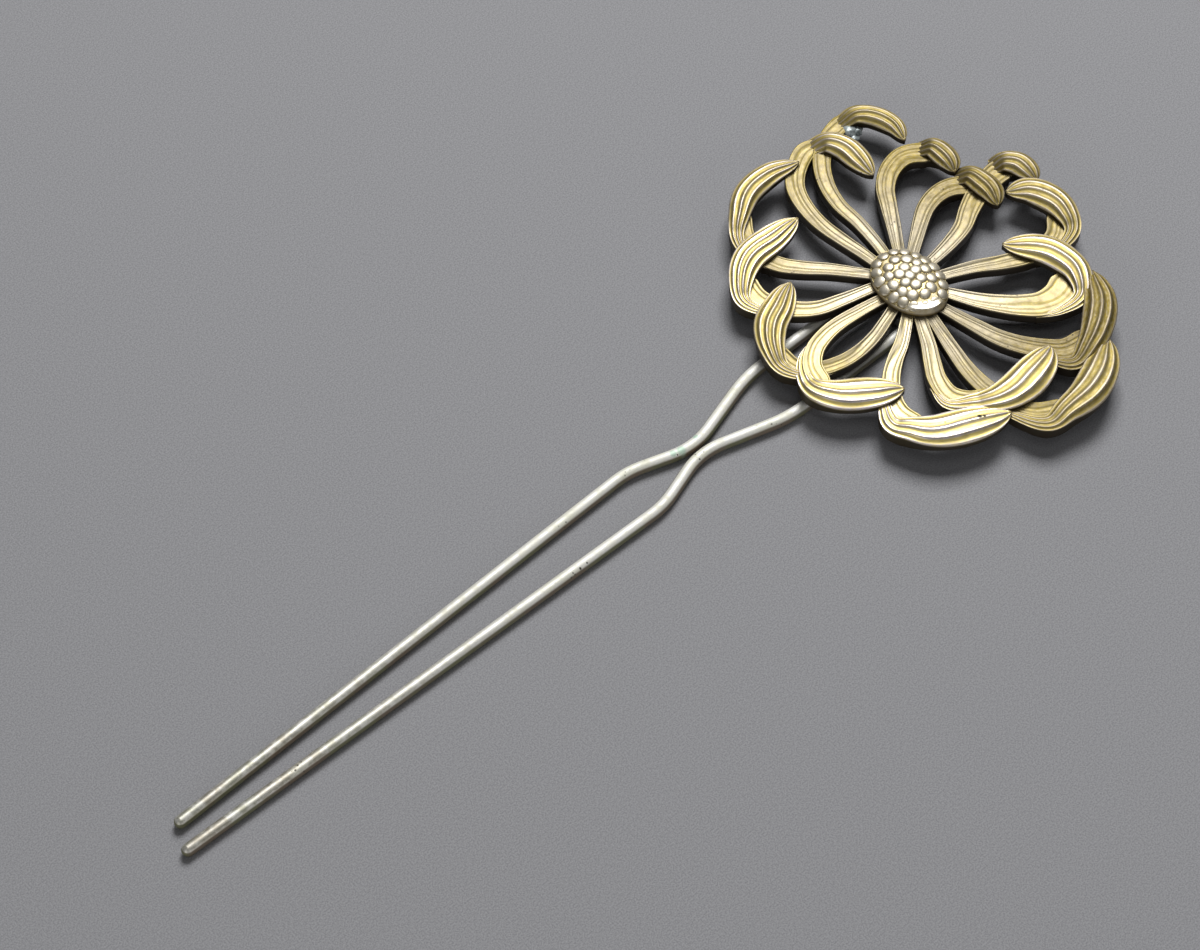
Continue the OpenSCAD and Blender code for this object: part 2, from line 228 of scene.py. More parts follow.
def eased(x: np.ndarray | float, low: float, high: float) -> np.ndarray:
    """Rises smoothly from 0 at low to 1 at high.

    Args:
        x: Values to ease.
        low: Value that gives 0.
        high: Value that gives 1, which may be the lower one.

    Returns:
        The eased values.
    """
    t = np.clip((np.asarray(x, float) - low) / (high - low), 0.0, 1.0)
    return t * t * (3 - 2 * t)


@dataclass
class Skin:
    """Closed shells gathered for one mesh, with named values at each point.

    Args:
        points: Points of each shell in mm.
        faces: Faces of each shell, counted over all points.
        values: Named values, one for each point.
        count: Number of points so far.
    """

    points: list[np.ndarray] = field(default_factory=list)
    faces: list[tuple[int, ...]] = field(default_factory=list)
    values: dict[str, list[np.ndarray]] = field(default_factory=dict)
    count: int = 0

    def add(self, rings: np.ndarray, values: dict[str, np.ndarray]) -> None:
        """Adds one closed shell over rings of points, closed at both ends.

        Args:
            rings: Rings of points in mm, as an array of ring, point and axis.
            values: Named values, one for each point of each ring.
        """
        m, n, _ = rings.shape
        flat = rings.reshape(-1, 3)
        caps = np.array([rings[0].mean(0), rings[-1].mean(0)])
        i, j = np.meshgrid(np.arange(m - 1), np.arange(n), indexing="ij")
        a, b = (i * n + j).ravel(), (i * n + (j + 1) % n).ravel()
        quads = np.column_stack([a, b, b + n, a + n])
        ring, after = np.arange(n), (np.arange(n) + 1) % n
        start = np.column_stack([np.full(n, m * n), after, ring])
        end = np.column_stack([np.full(n, m * n + 1), (m - 1) * n + ring, (m - 1) * n + after])
        points = np.vstack([flat, caps])
        corner = points[quads]
        volume = np.einsum("ij,ij->i", corner[:, 0], np.cross(corner[:, 1], corner[:, 2])).sum()
        volume += np.einsum("ij,ij->i", corner[:, 0], np.cross(corner[:, 2], corner[:, 3])).sum()
        for tri in (start, end):
            t = points[tri]
            volume += np.einsum("ij,ij->i", t[:, 0], np.cross(t[:, 1], t[:, 2])).sum()
        order = 1 if volume > 0 else -1
        for part in (quads, start, end):
            self.faces.extend(map(tuple, (part[:, ::order] + self.count).tolist()))
        self.points.append(points)
        for name, value in values.items():
            ends = [value[0].mean(), value[-1].mean()]
            self.values.setdefault(name, []).append(np.concatenate([value.ravel(), ends]))
        self.count += len(points)

    def made(self, name: str) -> bpy.types.Object:
        """Turns the shells into one object in metres.

        Args:
            name: Name of the piece.

        Returns:
            The new object.
        """
        mesh = bpy.data.meshes.new(name)
        mesh.from_pydata((np.vstack(self.points) * MM).tolist(), [], self.faces)
        for key, parts in self.values.items():
            mesh.attributes.new(key, "FLOAT", "POINT").data.foreach_set(
                "value", np.concatenate(parts).astype(np.float32))
        mesh.shade_smooth()
        mesh.update()
        piece = bpy.data.objects.new(name, mesh)
        bpy.context.scene.collection.objects.link(piece)
        return piece


class Graph:
    """A node tree under construction.

    Args:
        tree: The tree that nodes are added to.
    """

    def __init__(self, tree: bpy.types.NodeTree) -> None:
        """Keeps the tree."""
        self.tree = tree

    def fill(self, socket: bpy.types.NodeSocket, value: object) -> None:
        """Links a socket to an input, or sets the input's own value."""
        if isinstance(value, bpy.types.NodeSocket):
            self.tree.links.new(value, socket)
        elif value is not None:
            socket.default_value = value

    def node(self, kind: str, inputs: dict[object, object] | None = None,
             **settings: object) -> bpy.types.Node:
        """Adds a node.

        Args:
            kind: Type of the node.
            inputs: Sockets or values for its inputs, by name or number.
            settings: Settings of the node itself.

        Returns:
            The node.
        """
        made = self.tree.nodes.new(kind)
        for name, value in settings.items():
            setattr(made, name, value)
        for name, value in (inputs or {}).items():
            self.fill(made.inputs[name], value)
        return made

    def math(self, operation: str, a: object, b: object = None, c: object = None,
             clamp: bool = False) -> bpy.types.NodeSocket:
        """Adds a Math node.

        Args:
            operation: What it works out.
            a: First value or socket.
            b: Second value or socket.
            c: Third value or socket.
            clamp: Whether the result is kept between 0 and 1.

        Returns:
            The result's socket.
        """
        made = self.node("ShaderNodeMath", {0: a}, operation=operation, use_clamp=clamp)
        self.fill(made.inputs[1], b)
        self.fill(made.inputs[2], c)
        return made.outputs[0]

    def step(self, value: object, low: float, high: float, to_low: float = 0.0,
             to_high: float = 1.0) -> bpy.types.NodeSocket:
        """Adds a smooth step.

        Args:
            value: Value or socket.
            low: Value that gives to_low.
            high: Value that gives to_high.
            to_low: Result at and below low.
            to_high: Result at and above high.

        Returns:
            The result's socket.
        """
        made = self.node("ShaderNodeMapRange", {0: value, 1: low, 2: high, 3: to_low, 4: to_high},
                         interpolation_type="SMOOTHSTEP")
        return made.outputs[0]

    def blend(self, share: object, a: object, b: object) -> bpy.types.NodeSocket:
        """Mixes two colours.

        Args:
            share: Share of the second colour.
            a: First colour or socket.
            b: Second colour or socket.

        Returns:
            The mixed colour's socket.
        """
        colours = [(*c, 1.0) if isinstance(c, tuple) and len(c) == 3 else c for c in (a, b)]
        made = self.node("ShaderNodeMix", {0: share, 6: colours[0], 7: colours[1]}, data_type="RGBA")
        return made.outputs[2]

    def between(self, share: object, a: object, b: object) -> bpy.types.NodeSocket:
        """Mixes two numbers.

        Args:
            share: Share of the second number.
            a: First number or socket.
            b: Second number or socket.

        Returns:
            The mixed number's socket.
        """
        return self.node("ShaderNodeMix", {0: share, 2: a, 3: b}, data_type="FLOAT").outputs[0]

    def spot(self, place: tuple[float, float, float]) -> bpy.types.NodeSocket:
        """Adds a mask of one soft-edged round spot, seen from above.

        Args:
            place: Place of its middle along and across the pin, and its radius, in mm.

        Returns:
            The mask's socket.
        """
        axes = self.node("ShaderNodeSeparateXYZ", {0: self.node("ShaderNodeTexCoord").outputs["Object"]})
        flat = self.node("ShaderNodeCombineXYZ", {0: axes.outputs[0], 1: axes.outputs[1]}).outputs[0]
        middle = (place[0] * MM, place[1] * MM, 0.0)
        way = self.node("ShaderNodeVectorMath", {0: flat, 1: middle}, operation="DISTANCE").outputs["Value"]
        return self.step(way, place[2] * MM, 0.4 * place[2] * MM)

    def value_at(self, name: str) -> bpy.types.NodeSocket:
        """Reads a named value of the mesh in a material."""
        read = self.node("ShaderNodeAttribute", attribute_name=name, attribute_type="GEOMETRY")
        return read.outputs["Fac"]

    def named(self, name: str, kind: str = "FLOAT") -> bpy.types.NodeSocket:
        """Reads a named value of the mesh in a geometry tree."""
        return self.node("GeometryNodeInputNamedAttribute", {"Name": name}, data_type=kind).outputs[0]

    def finish(self, geometry: bpy.types.NodeSocket, material: bpy.types.NodeSocket) -> None:
        """Ends a geometry tree with real meshes that have their material.

        Args:
            geometry: What the tree made.
            material: The material's socket.
        """
        real = self.node("GeometryNodeRealizeInstances", {0: geometry})
        done = self.node("GeometryNodeSetMaterial", {"Geometry": real.outputs[0], "Material": material})
        self.node("NodeGroupOutput", {"Geometry": done.outputs[0]})

    def surface(self, colour: object, rough: object, metal: object, height: object,
                strength: float) -> None:
        """Ends a material with its fine relief and its shader.

        Args:
            colour: Colour of the surface.
            rough: Its roughness.
            metal: How metallic it is.
            height: Height of its fine marks.
            strength: Strength of the relief.
        """
        bump = self.node("ShaderNodeBump", {"Strength": strength, "Distance": MARK_DEPTH, "Height": height})
        shader = self.node("ShaderNodeBsdfPrincipled", {"Base Color": colour, "Roughness": rough,
                                                        "Metallic": metal, "Normal": bump.outputs[0]})
        self.node("ShaderNodeOutputMaterial", {"Surface": shader.outputs[0]})


def new_material(name: str) -> tuple[bpy.types.Material, Graph]:
    """Makes an empty material.

    Args:
        name: Name of the material.

    Returns:
        The material and its tree under construction.
    """
    material = bpy.data.materials.new(name)
    material.use_nodes = True
    material.node_tree.nodes.clear()
    return material, Graph(material.node_tree)


def new_tree(name: str, kind: str, inputs: dict[str, tuple[str, object]],
             outputs: dict[str, str]) -> bpy.types.NodeTree:
    """Makes a node tree with named sockets.

    Args:
        name: Name of the tree.
        kind: Type of the tree.
        inputs: Type and first value of each input, by name.
        outputs: Type of each output, by name.

    Returns:
        The tree.
    """
    tree = bpy.data.node_groups.new(name, kind)
    for label, (socket_type, value) in inputs.items():
        socket = tree.interface.new_socket(name=label, in_out="INPUT", socket_type=socket_type)
        if value is not None:
            socket.default_value = value
    for label, socket_type in outputs.items():
        tree.interface.new_socket(name=label, in_out="OUTPUT", socket_type=socket_type)
    return tree


def dressed(piece: bpy.types.Object, tree: bpy.types.NodeTree,
            values: dict[str, object]) -> bpy.types.Object:
    """Runs a geometry tree on a piece and leaves a plain mesh.

    Args:
        piece: The piece.
        tree: The tree to run.
        values: Values for the tree's inputs, by name.

    Returns:
        The same piece with its new mesh.
    """
    modifier = piece.modifiers.new(tree.name, "NODES")
    modifier.node_group = tree
    for item in tree.interface.items_tree:
        if item.item_type == "SOCKET" and item.in_out == "INPUT" and item.name in values:
            modifier[item.identifier] = values[item.name]
    graph = bpy.context.evaluated_depsgraph_get()
    graph.update()
    mesh = bpy.data.meshes.new_from_object(piece.evaluated_get(graph), preserve_all_data_layers=True,
                                           depsgraph=graph)
    piece.modifiers.clear()
    piece.data = mesh
    mesh.name = piece.name
    mesh.shade_smooth()
    return piece


def cast_relief_tree() -> bpy.types.NodeTree:
    """Builds the tree that raises cast ridges along petals and stores how high each point stands.

    Returns:
        The tree.
    """
    tree = new_tree("Cast relief", "GeometryNodeTree", {
        "Geometry": ("NodeSocketGeometry", None), "Ridge Height": ("NodeSocketFloat", 0.0002),
        "Groove Power": ("NodeSocketFloat", 1.0), "Line Wobble": ("NodeSocketFloat", 0.2),
        "Hand Wobble": ("NodeSocketFloat", 0.00003), "Seed": ("NodeSocketInt", 7),
        "Material": ("NodeSocketMaterial", None)}, {"Geometry": "NodeSocketGeometry"})
    g = Graph(tree)
    given = g.node("NodeGroupInput")
    place = g.node("GeometryNodeInputPosition").outputs[0]
    normal = g.node("GeometryNodeInputNormal").outputs[0]
    drift = g.node("ShaderNodeTexNoise", {"Vector": place, "W": given.outputs["Seed"], "Scale": 220.0,
                                          "Detail": 1.0}, noise_dimensions="4D").outputs[0]
    seed_b = g.math("ADD", given.outputs["Seed"], 11.3)
    dents = g.node("ShaderNodeTexNoise", {"Vector": place, "W": seed_b, "Scale": 420.0, "Detail": 2.0},
                   noise_dimensions="4D").outputs[0]
    shift = g.math("MULTIPLY", g.math("SUBTRACT", drift, 0.5), given.outputs["Line Wobble"])
    phase = g.math("ADD", g.named("ridge_phase"), shift)
    wave = g.math("COSINE", g.math("MULTIPLY", phase, 2 * math.pi))
    hollow = g.math("MULTIPLY_ADD", wave, -0.5, 0.5, clamp=True)
    crest = g.math("SUBTRACT", 1.0, g.math("POWER", hollow, given.outputs["Groove Power"]), clamp=True)
    raised = g.math("MULTIPLY", crest, g.named("ridge_share"))
    lift = g.math("MULTIPLY", raised, given.outputs["Ridge Height"])
    dent = g.math("MULTIPLY", g.math("SUBTRACT", dents, 0.5), given.outputs["Hand Wobble"])
    move = g.node("ShaderNodeVectorMath", {0: normal, "Scale": g.math("ADD", lift, dent)}, operation="SCALE")
    kept = g.node("GeometryNodeStoreNamedAttribute", {
        "Geometry": given.outputs["Geometry"], "Name": "crest", "Value": crest},
        data_type="FLOAT", domain="POINT")
    moved = g.node("GeometryNodeSetPosition", {"Geometry": kept.outputs[0], "Offset": move.outputs[0]})
    g.finish(moved.outputs[0], given.outputs["Material"])
    return tree


def granule_tree() -> bpy.types.NodeTree:
    """Builds the tree that seats one flattened granule on each point of a guide.

    Returns:
        The tree.
    """
    tree = new_tree("Granule field", "GeometryNodeTree", {
        "Geometry": ("NodeSocketGeometry", None), "Granule Width": ("NodeSocketFloat", 0.0011),
        "Granule Height": ("NodeSocketFloat", 0.0009), "Variation": ("NodeSocketFloat", 0.08),
        "Seed": ("NodeSocketInt", 5), "Material": ("NodeSocketMaterial", None)},
        {"Geometry": "NodeSocketGeometry"})
    g = Graph(tree)
    given = g.node("NodeGroupInput")
    facing = g.named("facing", "FLOAT_VECTOR")
    size, flat = g.named("size"), g.named("flat")
    ball = g.node("GeometryNodeMeshUVSphere", {"Segments": 24, "Rings": 14, "Radius": 0.5}).outputs[0]
    turned = g.node("FunctionNodeAlignRotationToVector", {"Vector": facing}, axis="Z").outputs[0]
    least = g.math("SUBTRACT", 1.0, given.outputs["Variation"])
    most = g.math("ADD", 1.0, given.outputs["Variation"])

    def spread(offset: int) -> bpy.types.NodeSocket:
        """Gives each granule its own share of the size."""
        seed = g.math("ADD", given.outputs["Seed"], float(offset))
        chance = g.node("FunctionNodeRandomValue", {2: least, 3: most, "Seed": seed}, data_type="FLOAT")
        return chance.outputs[1]

    wide = g.math("MULTIPLY", given.outputs["Granule Width"], size)
    high = g.math("MULTIPLY", g.math("MULTIPLY", given.outputs["Granule Height"], size), flat)
    scale = g.node("ShaderNodeCombineXYZ", {0: g.math("MULTIPLY", wide, spread(0)),
                                            1: g.math("MULTIPLY", wide, spread(1)),
                                            2: g.math("MULTIPLY", high, spread(2))}).outputs[0]
    balls = g.node("GeometryNodeInstanceOnPoints", {"Points": given.outputs["Geometry"], "Instance": ball,
                                                    "Rotation": turned, "Scale": scale}).outputs[0]
    g.finish(balls, given.outputs["Material"])
    return tree


def worn_surface_group() -> bpy.types.NodeTree:
    """Builds the shared group of handling marks: lengthwise streaks, mottling, specks and their height.

    Returns:
        The group.
    """
    name = "Handling marks"
    if name in bpy.data.node_groups:
        return bpy.data.node_groups[name]
    tree = new_tree(name, "ShaderNodeTree", {
        "Along": ("NodeSocketFloat", 0.0), "Across": ("NodeSocketFloat", 0.0),
        "Streak Stretch": ("NodeSocketFloat", 0.25), "Mottle Scale": ("NodeSocketFloat", 900.0),
        "Speck Share": ("NodeSocketFloat", 0.3)},
        {"Streaks": "NodeSocketFloat", "Mottle": "NodeSocketFloat", "Patches": "NodeSocketFloat",
         "Specks": "NodeSocketFloat", "Height": "NodeSocketFloat"})
    g = Graph(tree)
    given = g.node("NodeGroupInput")
    place = g.node("ShaderNodeTexCoord").outputs["Object"]
    stretched = g.math("MULTIPLY", given.outputs["Along"], given.outputs["Streak Stretch"])
    strip = g.node("ShaderNodeCombineXYZ", {0: stretched, 1: given.outputs["Across"], 2: 0.0}).outputs[0]
    streaks = g.node("ShaderNodeTexNoise", {"Vector": strip, "Scale": 5.5, "Detail": 3.0,
                                            "Roughness": 0.6}).outputs[0]
    fine = g.node("ShaderNodeTexNoise", {"Vector": place, "Scale": 6500.0, "Detail": 2.0}).outputs[0]
    mottle = g.node("ShaderNodeTexNoise", {"Vector": place, "Scale": given.outputs["Mottle Scale"],
                                           "Detail": 4.0, "Roughness": 0.62}).outputs[0]
    patches = g.node("ShaderNodeTexNoise", {"Vector": place, "Scale": 170.0, "Detail": 3.0}).outputs[0]
    cells = g.node("ShaderNodeTexVoronoi", {"Vector": place, "Scale": 1500.0, "Randomness": 1.0}).outputs[0]
    rare = g.step(patches, 0.60, 0.68)
    dot = g.step(cells, 0.26, 0.10)
    specks = g.math("MULTIPLY", g.math("MULTIPLY", dot, rare), given.outputs["Speck Share"])
    low = g.math("MULTIPLY_ADD", streaks, 0.55, g.math("MULTIPLY", mottle, 0.35))
    high = g.math("ADD", low, g.math("MULTIPLY", fine, 0.22))
    height = g.math("SUBTRACT", high, g.math("MULTIPLY", specks, 0.8))
    g.node("NodeGroupOutput", {"Streaks": streaks, "Mottle": mottle, "Patches": patches, "Specks": specks,
                               "Height": height})
    return tree


@dataclass(frozen=True)
class CastFinish:
    """Gilded cast brass: golden in its channels, worn on its crests, with painted shade along its sides and
    in its nooks.

    Args:
        name: Name of the material.
        gilding: Colour of sound gilding.
        pale: Colour of gilding that is worn thin, which also paints the highlight on the brighter petals.
        aged_and_shaded: Colour of gilding that nothing rubs, which also paints shade on the darker petals.
        worn: Colour where the gilding is worn through, near the seed head.
        crest: Colour of the worn ridges.
        tarnish_and_shade: Colour of the deep grooves' patina, and of the painted shade on the sides and in
            the nooks.
        disc_wear: Share of rubbing near the seed head.
        crest_wear: Share of rubbing on the ridges.
        groove_dark: Share of dark patina on the groove floors.
        flank_shade_and_tarnish: Share of painted shade, with some patina, on the sides.
        speck_share: How dark the specks are.
        metal: How metallic the skin is, which age has dulled.
        pits: Dark pits, each as its place along and across the pin and its radius, in mm.
    """

    name: str
    gilding: Colour = (0.265, 0.198, 0.038)
    pale: Colour = (0.95, 0.78, 0.27)
    aged_and_shaded: Colour = (0.125, 0.085, 0.014)
    worn: Colour = (0.54, 0.49, 0.39)
    crest: Colour = (0.78, 0.71, 0.72)
    tarnish_and_shade: Colour = (0.020, 0.012, 0.005)
    disc_wear: float = 0.65
    crest_wear: float = 0.7
    groove_dark: float = 0.6
    flank_shade_and_tarnish: float = 0.96
    speck_share: float = 0.7
    metal: float = 0.92
    pits: tuple[tuple[float, float, float], ...] = ()

    def made(self) -> bpy.types.Material:
        """Builds the material.

        Returns:
            The material.
        """
        material, g = new_material(self.name)
        marks = g.node("ShaderNodeGroup", node_tree=worn_surface_group())
        g.fill(marks.inputs["Along"], g.value_at("along"))
        g.fill(marks.inputs["Across"], g.value_at("across"))
        marks.inputs["Speck Share"].default_value = self.speck_share
        streaks, mottle = marks.outputs["Streaks"], marks.outputs["Mottle"]
        patches, specks = marks.outputs["Patches"], marks.outputs["Specks"]
        crest, flank, reach = (g.value_at(name) for name in ("crest", "flank", "reach"))
        share = g.value_at("ridge_share")

        uneven = g.math("MULTIPLY_ADD", mottle, 0.7, g.math("MULTIPLY", patches, 0.6))
        by_disc = g.math("MULTIPLY", g.step(reach, 0.75, 0.05), self.disc_wear)
        by_disc = g.math("MULTIPLY", by_disc, g.step(uneven, 0.4, 0.75, 0.55, 1.0))
        # Each petal's share of wear and painted highlight also makes its worn crests show more.
        seen = g.math("MULTIPLY_ADD", g.value_at("shine"), 0.22, crest)
        on_crest = g.math("MULTIPLY", g.step(seen, 0.35, 0.85), self.crest_wear)
        on_crest = g.math("MULTIPLY", on_crest, g.step(uneven, 0.42, 0.78, 0.35, 1.0))
        on_crest = g.math("MULTIPLY", on_crest, g.step(g.value_at("shine"), -0.3, 0.8, 0.12, 1.0))
        in_groove = g.math("MULTIPLY", share, self.groove_dark)
        in_groove = g.math("MULTIPLY", g.step(crest, 0.45, 0.05), in_groove)
        in_groove = g.math("MULTIPLY", in_groove, g.step(streaks, 0.3, 0.65, 0.45, 1.0))
        # Painted shade: the sides are darkened nearly to black, partly as patina, and the nooks where other
        # surfaces come close are darkened too.
        side = g.math("MULTIPLY", g.step(flank, 0.05, 0.55), self.flank_shade_and_tarnish)
        close = g.node("ShaderNodeAmbientOcclusion", {"Distance": 0.0009}, samples=8).outputs["AO"]
        nook_shade = g.math("MULTIPLY", g.step(close, 0.72, 0.15), 0.65)
        # dark gathers the groove patina, the painted shade of the sides and nooks, the specks and the pits.
        dark = g.math("MAXIMUM", g.math("MAXIMUM", in_groove, side), g.math("MAXIMUM", nook_shade, specks))
        for pit in self.pits:
            dark = g.math("MAXIMUM", dark, g.spot(pit))

        # Painted highlight and shade, with wear: each petal is made paler or browner by its own share.
        rubbed = g.value_at("shine")
        gold = g.blend(g.step(patches, 0.35, 0.7), self.gilding, tuple(0.86 * c for c in self.gilding))
        gold = g.blend(g.step(rubbed, 0.05, -0.5), gold, self.aged_and_shaded)
        gold = g.blend(rubbed, gold, self.pale)
        gold = g.blend(g.step(streaks, 0.35, 0.75, 0.0, 0.35), gold, self.worn)
        colour = g.blend(by_disc, gold, self.worn)
        colour = g.blend(on_crest, colour, self.crest)
        colour = g.blend(dark, colour, self.tarnish_and_shade)
        rough = g.between(on_crest, g.between(by_disc, 0.60, 0.54), 0.46)
        rough = g.math("MULTIPLY_ADD", rubbed, -0.10, rough)
        rough = g.math("ADD", rough, g.step(mottle, 0.3, 0.8, -0.05, 0.1))
        rough = g.between(dark, rough, 0.55)
        metal = g.step(dark, 0.0, 1.0, self.metal, 0.3)
        g.surface(colour, rough, metal, marks.outputs["Height"], 0.35)
        return material


@dataclass(frozen=True)
class PlainFinish:
    """Drawn wire, solder or worn metal without cast ridges, with painted shade in its nooks and, for the
    wire, on its flanks and underside.

    Args:
        name: Name of the material.
        bright: Colour of the worn bright metal.
        dull: Colour of its duller patches.
        dirt_and_shade: Colour of specks, and of the painted shade on the surface in nooks.
        rough: Roughness of the worn bright metal.
        speck_share: How dark the specks are.
        stretch: How much the streaks are drawn out along the piece.
        nook_shade_reach: Distance in mm within which another surface paints shade on this one.
        tint: Colour of the faint stain.
        tint_share: Strength of the faint stain.
        metal: How metallic the skin is, which age has dulled.
        under_shade: Share of painted shade on the flanks and the underside, which face away from the light.
        far_dull: Share of patina towards the far ends of the prongs.
        aged_and_shaded: Colour of that patina and of the painted shade on the flanks and the underside.
        brown: Its colour in browner patches.
        pits: Dark pits, each as its place along and across the pin and its radius, in mm.
        bloom: Spots of pale green bloom, given in the same way.
        bloom_colour: Colour of the bloom.
    """

    name: str
    bright: Colour
    dull: Colour
    dirt_and_shade: Colour = (0.06, 0.05, 0.035)
    rough: float = 0.3
    speck_share: float = 0.9
    stretch: float = 0.12
    nook_shade_reach: float = 0.5
    tint: Colour = (0.5, 0.52, 0.2)
    tint_share: float = 0.0
    metal: float = 0.25
    under_shade: float = 0.0
    far_dull: float = 0.0
    aged_and_shaded: Colour = (0.19, 0.19, 0.085)
    brown: Colour = (0.21, 0.155, 0.10)
    pits: tuple[tuple[float, float, float], ...] = ()
    bloom: tuple[tuple[float, float, float], ...] = ()
    bloom_colour: Colour = (0.52, 0.74, 0.58)

    def made(self) -> bpy.types.Material:
        """Builds the material.

        Returns:
            The material.
        """
        material, g = new_material(self.name)
        place = g.node("ShaderNodeTexCoord").outputs["Object"]
        in_mm = g.node("ShaderNodeVectorMath", {0: place, "Scale": 1 / MM}, operation="SCALE").outputs[0]
        axes = g.node("ShaderNodeSeparateXYZ", {0: in_mm})
        marks = g.node("ShaderNodeGroup", node_tree=worn_surface_group())
        g.fill(marks.inputs["Along"], axes.outputs[0])
        g.fill(marks.inputs["Across"], axes.outputs[1])
        marks.inputs["Streak Stretch"].default_value = self.stretch
        marks.inputs["Speck Share"].default_value = self.speck_share
        streaks, mottle = marks.outputs["Streaks"], marks.outputs["Mottle"]
        patches, specks = marks.outputs["Patches"], marks.outputs["Specks"]
        # Painted shade in the nooks, where other surfaces come close.
        close = g.node("ShaderNodeAmbientOcclusion", {"Distance": self.nook_shade_reach * MM}, samples=8)
        nook_shade = g.math("MULTIPLY", g.step(close.outputs["AO"], 0.7, 0.15), 0.7)
        stain = g.math("MULTIPLY", g.step(patches, 0.48, 0.68), self.tint_share)
        colour = g.blend(g.step(mottle, 0.4, 0.7), self.bright, self.dull)
        colour = g.blend(g.step(streaks, 0.5, 0.75, 0.0, 0.5), colour, self.dull)
        colour = g.blend(stain, colour, self.tint)
        facing = g.node("ShaderNodeSeparateXYZ", {0: g.node("ShaderNodeTexCoord").outputs["Normal"]})
        # Painted shade on the flanks and the underside by their facing, in the same colours as the real
        # patina at the prongs' far ends.
        under = g.step(facing.outputs[2], 0.76, 0.45, 0.0, self.under_shade)
        far = g.math("MULTIPLY", g.step(axes.outputs[0], -8.0, -62.0), g.step(mottle, 0.3, 0.62, 0.35, 1.0))
        far = g.math("MULTIPLY", far, self.far_dull)
        aged_and_shaded = g.blend(g.step(patches, 0.45, 0.58), self.aged_and_shaded, self.brown)
        colour = g.blend(g.math("MAXIMUM", under, far), colour, aged_and_shaded)
        for spot in self.bloom:
            colour = g.blend(g.math("MULTIPLY", g.spot(spot), 0.75), colour, self.bloom_colour)
        dark = g.math("MAXIMUM", nook_shade, specks)
        for pit in self.pits:
            dark = g.math("MAXIMUM", dark, g.spot(pit))
        colour = g.blend(dark, colour, self.dirt_and_shade)
        rough = g.math("ADD", g.step(mottle, 0.35, 0.75, self.rough - 0.05, self.rough + 0.12),
                       g.step(streaks, 0.4, 0.8, -0.03, 0.08))
        rough = g.between(dark, rough, 0.6)
        metal = g.math("MULTIPLY_ADD", far, 0.9, g.step(dark, 0.0, 1.0, self.metal, 0.3))
        rough = g.math("MULTIPLY_ADD", far, -0.3, rough)
        g.surface(colour, rough, metal, marks.outputs["Height"], 0.4)
        return material


def placed(piece: bpy.types.Object, slot: Slot, *nodes: str) -> bpy.types.Object:
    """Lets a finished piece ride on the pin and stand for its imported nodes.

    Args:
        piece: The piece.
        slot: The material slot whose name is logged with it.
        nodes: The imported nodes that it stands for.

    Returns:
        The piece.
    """
    if nodes:
        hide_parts(*nodes)
    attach(piece, BODY)
    triangles = sum(len(p.vertices) - 2 for p in piece.data.polygons)
    LOG.info("%s: %d triangles, slot %s", piece.name, triangles, slot.value)
    return piece


